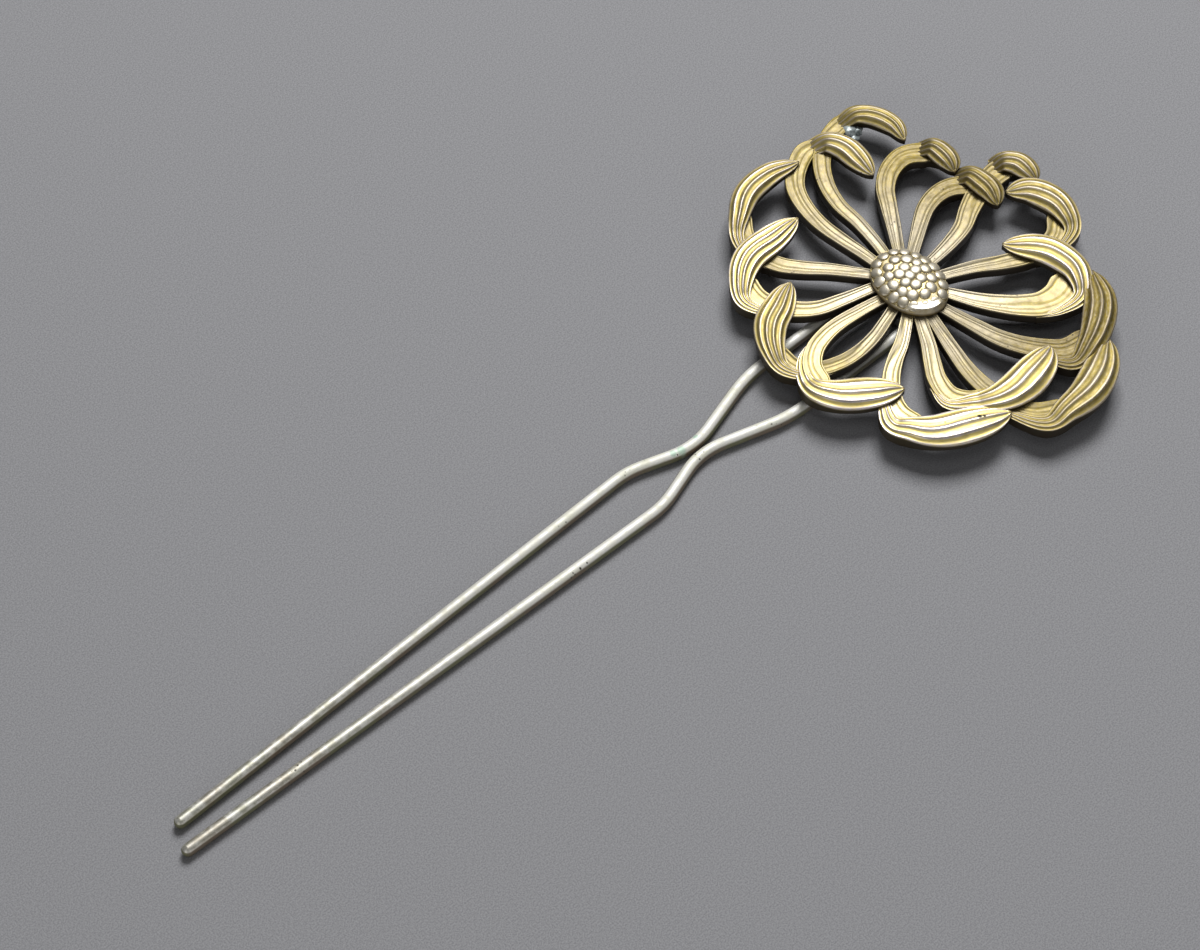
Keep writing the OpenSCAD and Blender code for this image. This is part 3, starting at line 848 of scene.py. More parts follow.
@dataclass
class Flower:
    """The openwork head: fifteen ribbons that fold over as ribbed lobes, on an oval hub.

    Args:
        seats: Middle of the flower and the levels of its seats.
        head_r: Reach of the longest petals.
        root_w: Width of a ribbon where it leaves the seed head.
        seed_a: Half length of the seed head.
        seed_b: Half width of the seed head.
        hub_inset: How far the hub stays inside the seed head's edge.
        ribbon_t: Depth of a ribbon.
        ribbon_dish: Depth of the hollow along a ribbon's face.
        ribbon_corner: Radius of the rounded edges of its face.
        back_bevel: Width of the bevels along its back.
        root_share: Share of the seed head's reach at which ribbons start.
        lobe_side: Depth of a lobe's upright sides.
        lobe_lift: Height of the sides' upper edges above the ribbons' faces.
        lobe_rise: Rise of a lobe's crown.
        rib_h: Height of the cast ribs.
        ribbon_lines: Number of wide ridges across a ribbon.
        ribbon_cuts: Depth of the grooves between them.
        ribbon_wear_and_highlight: Share of a lobe's wear and painted highlight that its ribbon gets, which
            lies lower.
        heel_start: Share of a whole leaf's outline that is missing at a lobe's heel.
        blunt_start: The same share for a lobe without a tail.
        heel_sink: How deep such a lobe's heel starts in its ribbon.
        tip_w: Least width of a lobe's tip.
        lobe_inset: How much narrower each side of a lobe is than its outline.
        tail_steps: Places of a tail's two points, in path points back from the heel.
        tail_inset: How far these points lie inside the ribbon's edge.
        tuck_way: How far a ribbon's end is tucked in under its lobe.
        pits: Dark pits in the lobes, each as its place from the flower's middle and its radius, in mm.
    """

    seats: Seats
    head_r: float = 28.0
    root_w: float = 1.5
    seed_a: float = 4.2
    seed_b: float = 5.6
    hub_inset: float = 0.3
    ribbon_t: float = 1.5
    ribbon_dish: float = 0.15
    ribbon_corner: float = 0.13
    back_bevel: float = 0.12
    root_share: float = 0.8
    lobe_side: float = 0.8
    lobe_lift: float = 0.25
    lobe_rise: float = 0.9
    rib_h: float = 0.19
    ribbon_lines: int = 3
    ribbon_cuts: float = 0.05
    ribbon_wear_and_highlight: float = 0.65
    heel_start: float = 0.09
    blunt_start: float = 0.17
    heel_sink: float = 0.42
    tip_w: float = 0.3
    lobe_inset: float = 0.16
    tail_steps: tuple[int, int] = (52, 26)
    tail_inset: float = 0.1
    tuck_way: float = 2.4
    pits: tuple[tuple[float, float, float], ...] = ((-8.2, -20.6, 0.42), (-7.75, -20.95, 0.28))

    def ribbon_path(self, petal: Petal, count: int) -> np.ndarray:
        """Middle line of a ribbon from inside the hub to its fold.

        Args:
            petal: The petal.
            count: Number of points wanted.

        Returns:
            The points in the flower's own plan, in mm.
        """
        angle = math.radians(petal.root)
        aim = np.array([math.cos(angle), math.sin(angle)])
        root = aim / np.linalg.norm(aim / np.array([self.seed_a, self.seed_b])) * self.root_share
        return smooth_path(np.vstack([root, np.array(petal.ribbon) * self.head_r]), count)

    def ribbon_width(self, petal: Petal, share: np.ndarray) -> np.ndarray:
        """Half width of a ribbon along its length.

        Args:
            petal: The petal.
            share: Shares of the ribbon's length.

        Returns:
            Half widths in mm.
        """
        return (self.root_w + (petal.fold_w * self.head_r - self.root_w) * share) / 2

    def ribbon_section(self) -> np.ndarray:
        """Section of a ribbon, from one edge of its face to the other and round its back.

        Returns:
            For each point its place across, its inset and drop in mm, and its share of the flank.
        """
        corner = self.ribbon_corner
        side = [(-corner + corner * math.sin(angle), -corner + corner * math.cos(angle), 0.15 + 0.1 * k)
                for k, angle in enumerate(np.radians([30, 60, 90]))]
        side += [(0.0, -depth * self.ribbon_t, 0.5 + 0.5 * depth) for depth in (0.35, 0.65, 0.92)]
        side.append((-self.back_bevel, -self.ribbon_t, 1.0))
        rows = [(x, -corner, 0.0, 0.0) for x in np.linspace(1.0, -1.0, 37)]
        rows += [(-1.0, *point) for point in side]
        rows.append((0.0, 0.0, -self.ribbon_t, 1.0))
        rows += [(1.0, *point) for point in reversed(side)]
        return np.array(rows)

    def add_ribbon(self, skin: Skin, petal: Petal, turn: float, along_count: int = 72) -> None:
        """Adds a ribbon with a hollow face between two raised rims.

        Args:
            skin: Shells that it is added to.
            petal: The petal.
            turn: Shift of the cast lines across the ribbon, in lines.
            along_count: Number of rings along it.
        """
        bare = self.ribbon_path(petal, FINE)
        lobe, on_lobe = self.lobe_path(petal, FINE)
        clear = (np.linalg.norm(lobe - bare[-1], axis=1) > self.tuck_way) & (on_lobe > 0.25)
        tuck = lobe[int(np.argmax(clear))]
        kept = np.linspace(0, FINE - 1, 8).astype(int)
        path = smooth_path(np.vstack([bare[kept], tuck[None, :]]), along_count)
        ending = 1 - np.linalg.norm(tuck - bare[-1]) / np.linalg.norm(np.diff(path, axis=0), axis=1).sum()
        side = left_of(path)
        share = np.linspace(0.0, 1.0, along_count)
        half = self.ribbon_width(petal, np.minimum(share / ending, 1.0))
        half = half * (1 - 0.45 * eased(share, ending - 0.04, 1.0))
        top = self.seats.face_z + petal.lift * self.ribbon_t * share
        corner = self.ribbon_corner
        x, inset, drop, flank = self.ribbon_section().T
        sign = np.where(np.abs(x) > 1e-6, np.sign(x), 0.0)
        is_face = flank == 0.0
        reach_x = np.where(is_face[None, :], x[None, :] * (half[:, None] - corner),
                           x[None, :] * half[:, None] + sign[None, :] * inset[None, :])
        rim = eased(np.abs(x), 0.80, 0.95)
        dish = np.where(is_face, -self.ribbon_dish * (1 - x ** 2) - 0.05 * (1 - rim), 0.0)
        z = top[:, None] + np.where(is_face, dish, drop)[None, :]
        z = np.maximum(z, self.seats.back_z)
        rings = np.empty((along_count, len(x), 3))
        for axis in range(2):
            rings[:, :, axis] = path[:, axis, None] + side[:, axis, None] * reach_x + self.seats.middle[axis]
        rings[:, :, 2] = z
        steps = np.linalg.norm(np.diff(path, axis=0), axis=1)
        length = np.concatenate([[0.0], np.cumsum(steps)])[:, None] + np.zeros((1, len(x)))
        bend = 0.25 * np.sin(length * 0.40 + turn * 7)
        lines = self.ribbon_lines + int(petal.fold_w > 0.115)
        uneven = x + 0.19 * np.sin(math.pi * 1.3 * x + turn * 2.3) * (1 - x ** 2)
        phase = (uneven[None, :] + 1) / 2 * lines + bend * (1 - x[None, :] ** 2) + 0.0 * length
        mask = np.where(is_face, 1 - eased(np.abs(x), 0.80, 0.97), 0.0)[None, :]
        mask = mask * eased(share, 0.02, 0.10)[:, None]
        skin.add(rings, {
            "ridge_phase": phase + turn * 0.13, "ridge_share": mask + 0.0 * length,
            "flank": flank[None, :] + 0.0 * length, "reach": share[:, None] + 0.0 * length,
            "shine": self.ribbon_wear_and_highlight * petal.shine + 0.0 * length,
            "along": length + turn * 37.0, "across": reach_x + turn * 5.0})

    def lobe_path(self, petal: Petal, count: int) -> tuple[np.ndarray, np.ndarray]:
        """Middle line of a lobe, from a tail along the ribbon's outer edge to the tip.

        Args:
            petal: The petal.
            count: Number of points wanted.

        Returns:
            The points in mm, and each point's share of the lobe's own length, below 0 along the tail.
        """
        lobe = np.array(petal.lobe) * self.head_r
        ribbon = self.ribbon_path(petal, FINE)
        nearest = int(np.argmin(np.linalg.norm(ribbon - lobe[0], axis=1)))
        left = left_of(ribbon)
        outward = np.sign(np.dot(lobe[0] - ribbon[nearest], left[nearest])) or 1.0
        share = np.linspace(0.0, 1.0, FINE)
        half = self.ribbon_width(petal, share)
        tail = []
        for back in self.tail_steps if petal.tail > 0 else ():
            at = max(nearest - int(back * petal.tail), 20)
            tail.append(ribbon[at] + left[at] * outward * (half[at] - self.tail_inset))
        path = smooth_path(np.vstack(tail + [lobe]), count)
        steps = np.concatenate([[0.0], np.cumsum(np.linalg.norm(np.diff(path, axis=0), axis=1))])
        heel = steps[int(np.argmin(np.linalg.norm(path - lobe[0], axis=1)))]
        return path, (steps - heel) / (steps[-1] - heel)

    def add_lobe(self, skin: Skin, petal: Petal, turn: float, along_count: int = 72) -> None:
        """Adds a lobe: a plump leaf whose ribs gather at its heel and its tip.

        Args:
            skin: Shells that it is added to.
            petal: The petal.
            turn: Shift of the hand-cut unevenness, in petals.
            along_count: Number of rings along it.
        """
        path, share = self.lobe_path(petal, along_count)
        side = left_of(path)
        on_leaf = np.clip(share, 0.0, 1.0)
        back = np.clip(-share / max(-share[0], 1e-6), 0.0, 1.0)
        wide = petal.lobe_w * self.head_r
        start = self.heel_start if petal.tail > 0 else self.blunt_start
        leaf = np.abs(np.sin(math.pi * (start + (1 - start) * on_leaf ** 1.4))) ** 0.5
        half = np.maximum(self.tip_w, wide * leaf) / 2
        half = np.where(share < 0, half * (1 - 0.75 * back), half)
        smoothing = np.array([1, 2, 3, 2, 1]) / 9
        padded = np.concatenate([half[:1], half[:1], half, half[-1:], half[-1:]])
        half = np.convolve(padded, smoothing, mode="valid") - self.lobe_inset
        swell = np.sin(math.pi * np.clip(on_leaf, 0.06 if petal.tail > 0 else 0.01, 0.975)) ** 0.6
        swell = swell * (1 - 0.85 * back)
        if petal.tail > 0:
            edge = self.seats.face_z + self.lobe_lift * eased(share, -0.15, 0.2) - 0.25 * back
        else:
            sunk = self.heel_sink * (1 - eased(share, 0.0, 0.25))
            edge = self.seats.face_z + self.lobe_lift * eased(share, 0.0, 0.3) - sunk
        depth = self.lobe_side + (self.ribbon_t + self.lobe_lift - self.lobe_side) * eased(share, 0.45, 0.1)
        under = np.maximum(edge - depth, self.seats.back_z)
        angles = np.linspace(0.0, math.pi, 59)
        x_top = np.cos(angles)
        arch = np.abs(np.sin(angles)) ** 1.08
        n_top = len(x_top)
        low_rows = [(-1.0, 0.25), (-1.0, 0.55), (-1.0, 0.85), (-0.94, 1.0), (0.0, 1.0), (0.94, 1.0),
                    (1.0, 0.85), (1.0, 0.55), (1.0, 0.25)]
        x = np.concatenate([x_top, [r[0] for r in low_rows]])
        drop = np.concatenate([np.zeros(n_top), [r[1] for r in low_rows]])
        crown = np.concatenate([arch, np.zeros(len(low_rows))])
        z = edge[:, None] + crown[None, :] * self.lobe_rise * swell[:, None]
        z = z - drop[None, :] * (edge - under)[:, None]
        rings = np.empty((along_count, len(x), 3))
        offset = half[:, None] * x[None, :]
        for axis in range(2):
            rings[:, :, axis] = path[:, axis, None] + side[:, axis, None] * offset + self.seats.middle[axis]
        rings[:, :, 2] = z
        steps = np.linalg.norm(np.diff(path, axis=0), axis=1)
        length = np.concatenate([[0.0], np.cumsum(steps)])[:, None] + np.zeros((1, len(x)))
        spread = np.arcsin(np.clip(x, -1, 1)) / (math.pi / 2)
        spread = 0.6 * spread + 0.4 * x
        phase = (spread / 0.88 + 1) / 2 * (petal.ribs - 1)
        bend = 0.12 * np.sin(length * 0.5 + turn * 5) * (1 - x[None, :] ** 2)
        on_top = np.concatenate([np.ones(n_top), np.zeros(len(low_rows))])
        mask = on_top * (1 - eased(np.abs(spread), 0.90, 0.99))
        thin = np.clip(half / (0.4 * wide), 0.12, 1.0)
        flank = np.concatenate([eased(np.abs(spread[:n_top]), 0.93, 1.0) * 0.35,
                                0.6 + 0.4 * np.array([r[1] for r in low_rows])])
        skin.add(rings, {
            "ridge_phase": phase[None, :] + bend, "ridge_share": mask[None, :] * thin[:, None],
            "flank": flank[None, :] + 0.0 * length, "reach": 0.6 + 0.4 * on_leaf[:, None] + 0.0 * length,
            "shine": petal.shine + 0.0 * length,
            "along": length + turn * 41.0, "across": offset + turn * 6.0})

    def add_hub(self, skin: Skin) -> None:
        """Adds the plain oval hub under the seed head.

        Args:
            skin: Shells that it is added to.
        """
        angle = np.linspace(0, 2 * math.pi, 72, endpoint=False)
        rings = []
        for inset, level in ((0.1, 0.0), (0.0, 0.1), (0.0, 0.5), (0.0, 0.9), (0.1, 1.0)):
            rings.append(np.column_stack([
                (self.seed_a - self.hub_inset - inset) * np.cos(angle) + self.seats.middle[0],
                (self.seed_b - self.hub_inset - inset) * np.sin(angle) + self.seats.middle[1],
                np.full(len(angle), self.seats.back_z + level * self.ribbon_t)]))
        shape = (len(rings), len(angle))
        skin.add(np.array(rings), {"ridge_phase": np.zeros(shape), "ridge_share": np.zeros(shape),
                                   "flank": np.full(shape, 0.8), "reach": np.zeros(shape),
                                   "along": np.zeros(shape), "across": np.zeros(shape),
                                   "shine": np.zeros(shape)})

    def build(self, relief: bpy.types.NodeTree) -> None:
        """Makes the ribbons and the lobes and dresses them.

        Args:
            relief: The tree that raises the cast ridges.
        """
        ribbons, lobes = Skin(), Skin()
        self.add_hub(ribbons)
        for number, petal in enumerate(PETALS):
            self.add_ribbon(ribbons, petal, float(number))
            self.add_lobe(lobes, petal, float(number))
        ribbon_finish = CastFinish("Gilded ribbons", groove_dark=0.35, crest_wear=0.3)
        pits = tuple((self.seats.middle[0] + u, self.seats.middle[1] + v, wide) for u, v, wide in self.pits)
        lobe_finish = CastFinish("Gilded lobes", disc_wear=0.15, crest_wear=1.0, groove_dark=0.0, pits=pits)
        piece = dressed(ribbons.made("petal_ribbons"), relief, {
            "Ridge Height": self.ribbon_cuts * MM, "Groove Power": 4.0, "Line Wobble": 0.5,
            "Hand Wobble": 0.00006, "Seed": 7, "Material": ribbon_finish.made()})
        placed(piece, Slot.GILDED_BRASS, "petals")
        piece = dressed(lobes.made("petal_lobes"), relief, {
            "Ridge Height": self.rib_h * MM, "Groove Power": 0.62, "Line Wobble": 0.3,
            "Hand Wobble": 0.00006, "Seed": 19, "Material": lobe_finish.made()})
        placed(piece, Slot.GILDED_BRASS, "petals")


@dataclass
class Residue:
    """Lumps of grey flux and solder left in the corners between the petals.

    Args:
        seats: Middle of the flower and the levels of its seats.
        lumps: Each lump's place from the flower's middle, its level and its three half sizes, in mm.
    """

    seats: Seats
    lumps: tuple[tuple[float, ...], ...] = (
        (11.9, 23.2, 2.7, 1.1, 1.0, 0.75),
        (12.9, 22.7, 2.6, 0.8, 0.7, 0.55),
        (11.6, 22.1, 2.5, 0.8, 0.8, 0.5))

    def build(self, relief: bpy.types.NodeTree) -> None:
        """Makes the lumps and dresses them.

        Args:
            relief: The tree that makes their surface uneven.
        """
        skin = Skin()
        around = np.linspace(0, 2 * math.pi, 28, endpoint=False)
        up = np.linspace(-0.5, 0.5, 17)[1:-1] * math.pi
        for number, (u, v, level, *half) in enumerate(self.lumps):
            uneven = 1 + 0.16 * np.sin(3 * around[None, :] + 4 * up[:, None] + number)
            rings = np.empty((len(up), len(around), 3))
            x, y = self.seats.middle + (u, v)
            wide = np.cos(up)[:, None]
            rings[:, :, 0] = x + half[0] * wide * np.cos(around) * uneven
            rings[:, :, 1] = y + half[1] * wide * np.sin(around) * uneven
            rings[:, :, 2] = level + half[2] * np.sin(up)[:, None] + 0.0 * uneven
            skin.add(rings, {"ridge_phase": 0.0 * uneven, "ridge_share": 0.0 * uneven})
        finish = PlainFinish("Flux residue", bright=(0.52, 0.58, 0.58), dull=(0.10, 0.12, 0.12), rough=0.35,
                             stretch=1.0, metal=0.3)
        piece = dressed(skin.made("residue"), relief, {
            "Ridge Height": 0.0, "Hand Wobble": 0.0004, "Seed": 3, "Material": finish.made()})
        placed(piece, Slot.SOLDER, "petals")


@dataclass
class SeedHead:
    """The oval dome of granules in the middle of the flower.

    Args:
        seats: Middle of the flower and the levels of its seats.
        seed_a: Half length.
        seed_b: Half width.
        rim_h: Height of the plain rim.
        dome_h: Rise of the dome above the rim.
        granule_d: Diameter of a granule.
        granule_h: Height of a granule above the dome.
        granule_rings: Number of rings of granules round the middle one.
        granule_reach: Share of the reach at which the outer ring of granules sits.
        ring_turn: Turn of each ring of granules from the one inside it, in degrees.
        granule_drift: Spread of the granules from their even places.
        chance_seed: Seed of that spread.
        seen_wide: Width of a granule as dressed, in diameters.
        seen_high: Height of a granule as dressed, as a share of granule_h.
        crescent_turn: Direction of the middle of the crescent that is worn flat and painted as a highlight,
            in degrees.
        crescent_wide: Turns from there at which it starts to fade and ends, in degrees.
        crescent_share: Share of the reach at which it lies.
        crescent_deep: Shares from there at which it starts to fade and ends.
    """

    seats: Seats
    seed_a: float = 4.2
    seed_b: float = 5.6
    rim_h: float = 0.6
    dome_h: float = 1.2
    granule_d: float = 1.15
    granule_h: float = 0.45
    granule_rings: int = 3
    granule_reach: float = 0.85
    ring_turn: float = 10.0
    granule_drift: float = 0.06
    chance_seed: int = 11
    seen_wide: float = 1.38
    seen_high: float = 1.25
    crescent_turn: float = -111.0
    crescent_wide: tuple[float, float] = (20.0, 40.0)
    crescent_share: float = 0.875
    crescent_deep: tuple[float, float] = (0.07, 0.118)

    def place(self, share: np.ndarray, angle: np.ndarray) -> tuple[np.ndarray, np.ndarray]:
        """Point of the plan, with equal angles spread evenly round the oval.

        Args:
            share: Share of the reach.
            angle: Angle in radians.

        Returns:
            The distances along and across the pin from the middle, in mm.
        """
        a, b = self.seed_a, self.seed_b
        even = angle - 0.25 * (b * b - a * a) / (b * b + a * a) * np.sin(2 * angle)
        return a * share * np.cos(even), b * share * np.sin(even)

    def dome(self, share: np.ndarray) -> np.ndarray:
        """Height of the dome above the seed head's underside, with a fine groove inside the rim."""
        level = self.rim_h + self.dome_h * (1 - np.clip(share, 0, 1) ** 2) ** 0.6
        groove = np.exp(-((share - 0.965) / 0.014) ** 2)
        return level - 0.10 * groove

    def rubbed(self, share: np.ndarray, angle: np.ndarray) -> np.ndarray:
        """Share of wear and painted highlight in the bright crescent along the near rim.

        Args:
            share: Share of the reach.
            angle: Angle in radians.

        Returns:
            1 in the crescent and 0 well outside it.
        """
        turn = np.degrees(np.angle(np.exp(1j * (angle - math.radians(self.crescent_turn)))))
        wide = 1 - eased(np.abs(turn), *self.crescent_wide)
        return wide * (1 - eased(np.abs(share - self.crescent_share), *self.crescent_deep))

    def build(self, granules: bpy.types.NodeTree) -> None:
        """Makes the dome and its granules and dresses them.

        Args:
            granules: The tree that seats the granules.
        """
        skin = Skin()
        angle = np.linspace(0, 2 * math.pi, 144, endpoint=False)
        shares = np.concatenate([[1.0, 1.0, 1.0, 0.995, 0.985], np.linspace(0.978, 0.94, 7),
                                 np.linspace(0.92, 0.04, 26)])
        levels = np.concatenate([[0.02, 0.1, self.rim_h * 0.7], [self.rim_h * 0.95, self.rim_h * 1.15],
                                 self.dome(shares[5:])])
        rings, wear, wall = [], [], []
        for share, level in zip(shares, levels):
            u, v = self.place(share, angle)
            # The near crescent is worn flat and also painted bright as a highlight.
            bright = self.rubbed(np.full(len(angle), share), angle)
            ledge = self.rim_h + 0.66 * self.dome_h - 0.5 * (share - 0.72)
            z = self.seats.seed_z + level + bright * max(ledge - level, 0.0)
            rings.append(np.column_stack([u + self.seats.middle[0], v + self.seats.middle[1], z]))
            wear.append(bright)
            # Painted shade on the side below the rim.
            wall.append(np.full(len(angle), 0.9 * float(eased(level, self.rim_h, 0.4 * self.rim_h))))
        shape = (len(rings), len(angle))
        skin.add(np.array(rings), {"rubbed": np.array(wear).reshape(shape),
                                   "wall": np.array(wall).reshape(shape)})
        gilt = SeedFinish("Gilded seed bed", base=(0.60, 0.48, 0.20), worn=(1.0, 0.96, 0.88), nook_shade=0.55)
        piece = skin.made("seed_dome")
        piece.data.materials.append(gilt.made())
        placed(piece, Slot.WORN_BRASS, "seed_head")

        points, facing, size, flat = [], [], [], []
        chance = np.random.default_rng(self.chance_seed)
        for ring in range(self.granule_rings + 1):
            share = self.granule_reach * ring / self.granule_rings
            number = max(6 * ring, 1)
            for k in range(number):
                turn = 2 * math.pi * k / number + math.radians(self.ring_turn * ring)
                u, v = self.place(np.float64(share), np.float64(turn))
                u, v = np.array([u, v]) + chance.normal(0, self.granule_drift, 2)
                z = float(self.dome(np.array(share)))
                slope = 1.2 * self.dome_h * share / (1 - share ** 2) ** 0.4
                lean = np.array([u / self.seed_a ** 2, v / self.seed_b ** 2])
                lean = lean / max(np.linalg.norm(lean), 1e-6) * slope / ((self.seed_a + self.seed_b) / 2)
                bright = float(self.rubbed(np.array(share), np.array(turn)))
                points.append(((u + self.seats.middle[0]) * MM, (v + self.seats.middle[1]) * MM,
                               (self.seats.seed_z + z - 0.03 * bright) * MM))
                facing.append((lean[0], lean[1], 1.0))
                size.append(1 - 0.12 * bright)
                flat.append(1 - 0.3 * bright)
        mesh = bpy.data.meshes.new("seed_granules")
        mesh.from_pydata(points, [], [])
        mesh.attributes.new("facing", "FLOAT_VECTOR", "POINT").data.foreach_set(
            "vector", np.array(facing, np.float32).ravel())
        mesh.attributes.new("size", "FLOAT", "POINT").data.foreach_set("value", np.array(size, np.float32))
        mesh.attributes.new("flat", "FLOAT", "POINT").data.foreach_set("value", np.array(flat, np.float32))
        guide = bpy.data.objects.new("seed_granules", mesh)
        bpy.context.scene.collection.objects.link(guide)
        silver = SeedFinish("Rubbed granules", base=(0.64, 0.55, 0.34), worn=(0.80, 0.75, 0.66), nook_shade=0.5)
        piece = dressed(guide, granules, {
            "Granule Width": self.seen_wide * self.granule_d * MM,
            "Granule Height": self.seen_high * self.granule_h * MM,
            "Variation": 0.09, "Seed": 5, "Material": silver.made()})
        placed(piece, Slot.WORN_BRASS, "seed_head")


@dataclass(frozen=True)
class SeedFinish:
    """Worn brass of the seed head, yellow, with painted brown shade in its nooks and under its rim, and
    painted highlight on its open tops and near crescent.

    Args:
        name: Name of the material.
        base: Colour of the metal.
        worn: Colour where it is worn bright, which also paints the highlight on the near crescent and on
            open tops.
        nook_shade: How dark the painted shade in the nooks is.
        dirt_and_shade: Colour of the specks, and of the painted shade in the nooks and on the side under the
            rim.
    """

    name: str
    base: Colour
    worn: Colour
    nook_shade: float
    dirt_and_shade: Colour = (0.12, 0.075, 0.022)

    def made(self) -> bpy.types.Material:
        """Builds the material.

        Returns:
            The material.
        """
        material, g = new_material(self.name)
        marks = g.node("ShaderNodeGroup", node_tree=worn_surface_group())
        mottle, specks = marks.outputs["Mottle"], marks.outputs["Specks"]
        close = g.node("ShaderNodeAmbientOcclusion", {"Distance": 0.0006}, samples=8).outputs["AO"]
        # Painted shade in the nooks between the granules.
        nook_shade = g.math("MULTIPLY", g.step(close, 0.8, 0.25), self.nook_shade)
        # Painted highlight on open tops, where nothing comes close, and on the near crescent, with wear.
        bright = g.math("MAXIMUM", g.value_at("rubbed"), g.step(close, 0.86, 1.0, 0.0, 0.7))
        bright = g.math("MULTIPLY", bright, g.step(mottle, 0.3, 0.6, 0.5, 1.0))
        colour = g.blend(bright, self.base, self.worn)
        # Painted shade on the side under the rim joins the nooks and specks.
        dark = g.math("MAXIMUM", g.math("MAXIMUM", nook_shade, specks), g.value_at("wall"))
        colour = g.blend(dark, colour, self.dirt_and_shade)
        rough = g.between(dark, g.step(mottle, 0.35, 0.75, 0.36, 0.5), 0.5)
        metal = g.step(dark, 0.0, 1.0, 0.75, 0.4)
        g.surface(colour, rough, metal, marks.outputs["Height"], 0.3)
        return material


@dataclass
class Fork:
    """The bent wire and the solder pad under the flower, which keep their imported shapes."""

    wire: PlainFinish = PlainFinish(
        "Pale nickel-silver wire", bright=(1.0, 0.985, 0.93), dull=(0.93, 0.91, 0.80), rough=0.58,
        stretch=0.1, tint=(0.62, 0.64, 0.34), tint_share=0.2, metal=0.32, under_shade=0.92, far_dull=0.55,
        pits=((-11.4, -1.98, 0.15), (-12.5, -2.02, 0.2), (-13.6, -1.95, 0.12), (7.2, 2.45, 0.12)),
        bloom=((7.95, 2.6, 0.8), (6.9, 2.9, 0.6), (10.6, 2.9, 0.5)))
    solder: PlainFinish = PlainFinish(
        "Dull solder", bright=(0.42, 0.42, 0.40), dull=(0.26, 0.26, 0.25), rough=0.45, stretch=1.0)

    def build(self) -> None:
        """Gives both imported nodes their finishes."""
        for node, finish in (("fork", self.wire), ("saddle", self.solder)):
            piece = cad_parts[node]
            material = finish.made()
            if not piece.material_slots:
                piece.data.materials.append(material)
            for place in piece.material_slots:
                place.material = material
            LOG.info("%s: finish %s", node, finish.name)


@dataclass(frozen=True)
class Lamp:
    """A soft square light that faces the flower.

    Args:
        name: Name of the light.
        watts: Its power.
        side: Angle to the left of the camera's look direction, in degrees.
        rise: Angle above the floor, in degrees.
        way: Distance from the flower, in mm.
        size: Length of its sides, in mm.
    """

    name: str
    watts: float
    side: float
    rise: float
    way: float
    size: float


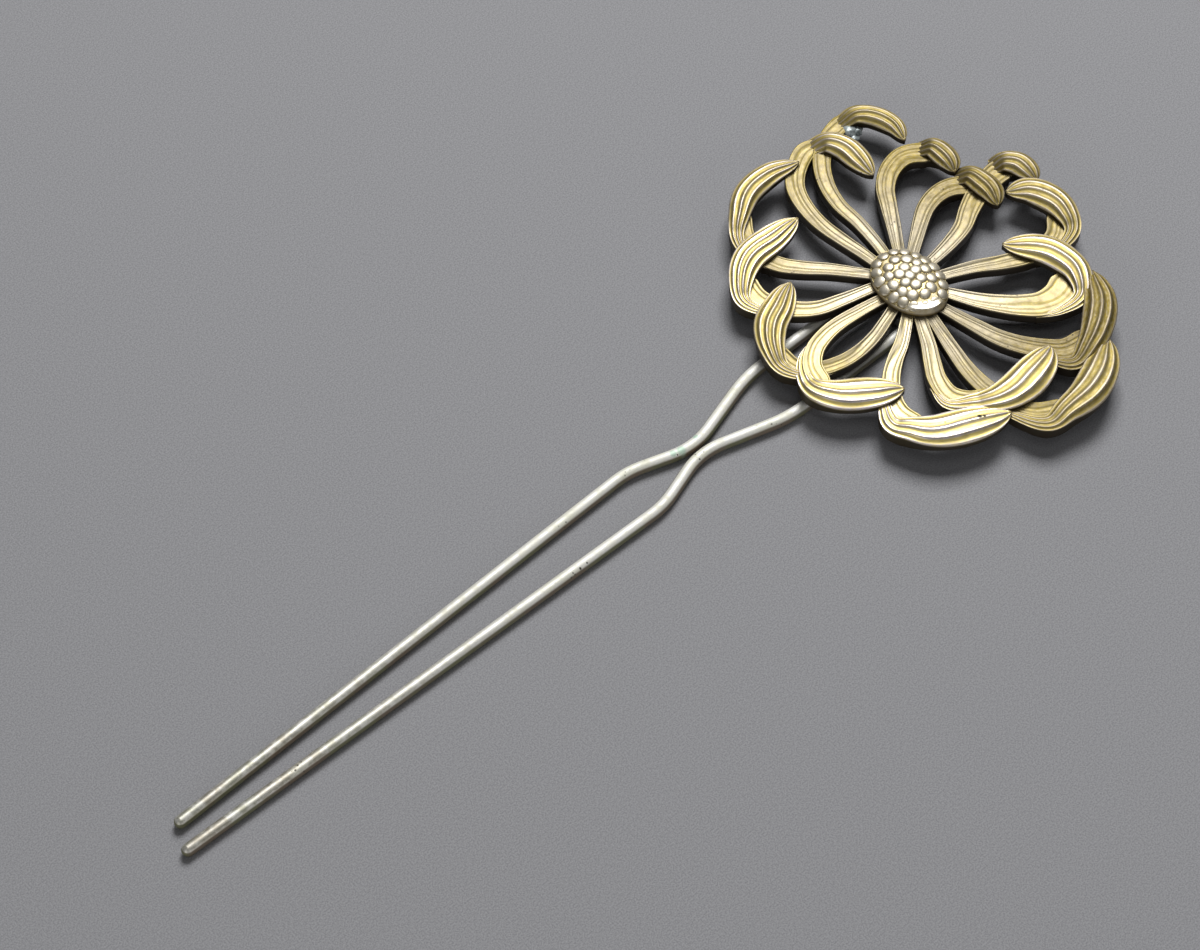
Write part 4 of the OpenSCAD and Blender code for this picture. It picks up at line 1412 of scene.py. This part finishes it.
@dataclass
class Studio:
    """Plain pale floor, soft light from beyond the flower with weak fills, and the camera.

    Args:
        seats: Middle of the flower.
        look: Horizontal direction in which the camera looks.
        camera_rise: Angle of the camera above the floor, in degrees.
        camera_way: Distance from the camera to the picture's middle, in mm.
        picture_scale: Pixels of the photo in one mm at the picture's middle.
        picture_middle: Place of the picture's middle on the floor from the flower's middle, in mm.
        lamps: The lights, the main one first.
        sky: Colour of the light from all round.
        sky_strength: Strength of that light.
        floor_half: Half length of the floor's sides, in mm.
        paper: Darkest and lightest colour of the floor's paper.
    """

    seats: Seats
    look: tuple[float, float] = (0.6626, 0.7490)
    camera_rise: float = 56.0
    camera_way: float = 420.0
    picture_scale: float = 8.2
    picture_middle: tuple[float, float] = (-46.6, 5.8)
    lamps: tuple[Lamp, ...] = (
        Lamp("key_light", 5.5, -7.0, 56.3, 782.0, 380.0),
        Lamp("left_fill", 0.7, 145.0, 18.0, 700.0, 400.0),
        Lamp("right_fill", 0.5, -150.0, 18.0, 700.0, 400.0),
        Lamp("top_strip", 0.19, 180.0, 80.0, 700.0, 300.0))
    sky: Colour = (0.95, 0.96, 1.0)
    sky_strength: float = 0.03
    floor_half: float = 1600.0
    paper: tuple[Colour, Colour] = ((0.27, 0.27, 0.283), (0.395, 0.395, 0.412))

    def camera(self) -> None:
        """Sets up the camera at the photo's angle."""
        rise = math.radians(self.camera_rise)
        target = Vector((self.seats.middle[0] + self.picture_middle[0],
                         self.seats.middle[1] + self.picture_middle[1], 0.0)) * MM
        look = Vector((self.look[0] * math.cos(rise), self.look[1] * math.cos(rise), -math.sin(rise)))
        data = bpy.data.cameras.new("camera")
        data.sensor_width = 36.0
        data.lens = self.picture_scale * self.camera_way / PHOTO_WIDE * data.sensor_width
        data.clip_start, data.clip_end = 0.01, 10.0
        camera = bpy.data.objects.new("camera", data)
        camera.location = target - look * self.camera_way * MM
        camera.rotation_euler = look.to_track_quat("-Z", "Y").to_euler()
        bpy.context.scene.collection.objects.link(camera)
        bpy.context.scene.camera = camera

    def add_lamp(self, lamp: Lamp) -> None:
        """Adds one light.

        Args:
            lamp: Its power, place and size.
        """
        heading = math.atan2(self.look[1], self.look[0]) + math.radians(lamp.side)
        up = math.radians(lamp.rise)
        aim = Vector((math.cos(heading) * math.cos(up), math.sin(heading) * math.cos(up), math.sin(up)))
        data = bpy.data.lights.new(lamp.name, "AREA")
        data.energy, data.size = lamp.watts, lamp.size * MM
        made = bpy.data.objects.new(lamp.name, data)
        centre = Vector((self.seats.middle[0], self.seats.middle[1], 0)) * MM
        made.location = centre + aim * lamp.way * MM
        made.rotation_euler = (-aim).to_track_quat("-Z", "Y").to_euler()
        bpy.context.scene.collection.objects.link(made)

    def add_sky(self) -> None:
        """Adds the weak light from all round."""
        world = bpy.data.worlds.new("studio")
        world.use_nodes = True
        background = world.node_tree.nodes["Background"]
        background.inputs[0].default_value = (*self.sky, 1.0)
        background.inputs[1].default_value = self.sky_strength
        bpy.context.scene.world = world
        bpy.context.scene.view_settings.view_transform = "Standard"

    def add_floor(self) -> None:
        """Adds the floor of pale paper with a fine grain."""
        mesh = bpy.data.meshes.new("floor")
        half = self.floor_half * MM
        mesh.from_pydata([(-half, -half, 0), (half, -half, 0), (half, half, 0), (-half, half, 0)], [],
                         [(0, 1, 2, 3)])
        floor = bpy.data.objects.new("floor", mesh)
        bpy.context.scene.collection.objects.link(floor)
        material = bpy.data.materials.new("Pale paper")
        material.use_nodes = True
        g = Graph(material.node_tree)
        shader = material.node_tree.nodes["Principled BSDF"]
        place = g.node("ShaderNodeTexCoord").outputs["Object"]
        fibres = g.node("ShaderNodeTexNoise", {"Vector": place, "Scale": 5200.0, "Detail": 4.0}).outputs[0]
        g.fill(shader.inputs["Base Color"], g.blend(g.step(fibres, 0.3, 0.7), *self.paper))
        shader.inputs["Roughness"].default_value = 0.85
        g.fill(shader.inputs["Normal"], g.node("ShaderNodeBump", {
            "Strength": 0.15, "Distance": 0.0002, "Height": fibres}).outputs[0])
        mesh.materials.append(material)

    def build(self) -> None:
        """Makes the camera, the lights and the floor."""
        self.camera()
        for lamp in self.lamps:
            self.add_lamp(lamp)
        self.add_sky()
        self.add_floor()
        LOG.info("studio: floor, %d lights and the camera", len(self.lamps))


def main() -> None:
    """Builds the studio, then the pin's pieces in order."""
    logging.basicConfig(level=logging.INFO, format="%(name)s: %(message)s")
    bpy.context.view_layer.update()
    seats = Seats.read()
    Studio(seats).build()
    Fork().build()
    relief = cast_relief_tree()
    Flower(seats).build(relief)
    Residue(seats).build(relief)
    SeedHead(seats).build(granule_tree())


if __name__ == "__main__":
    main()
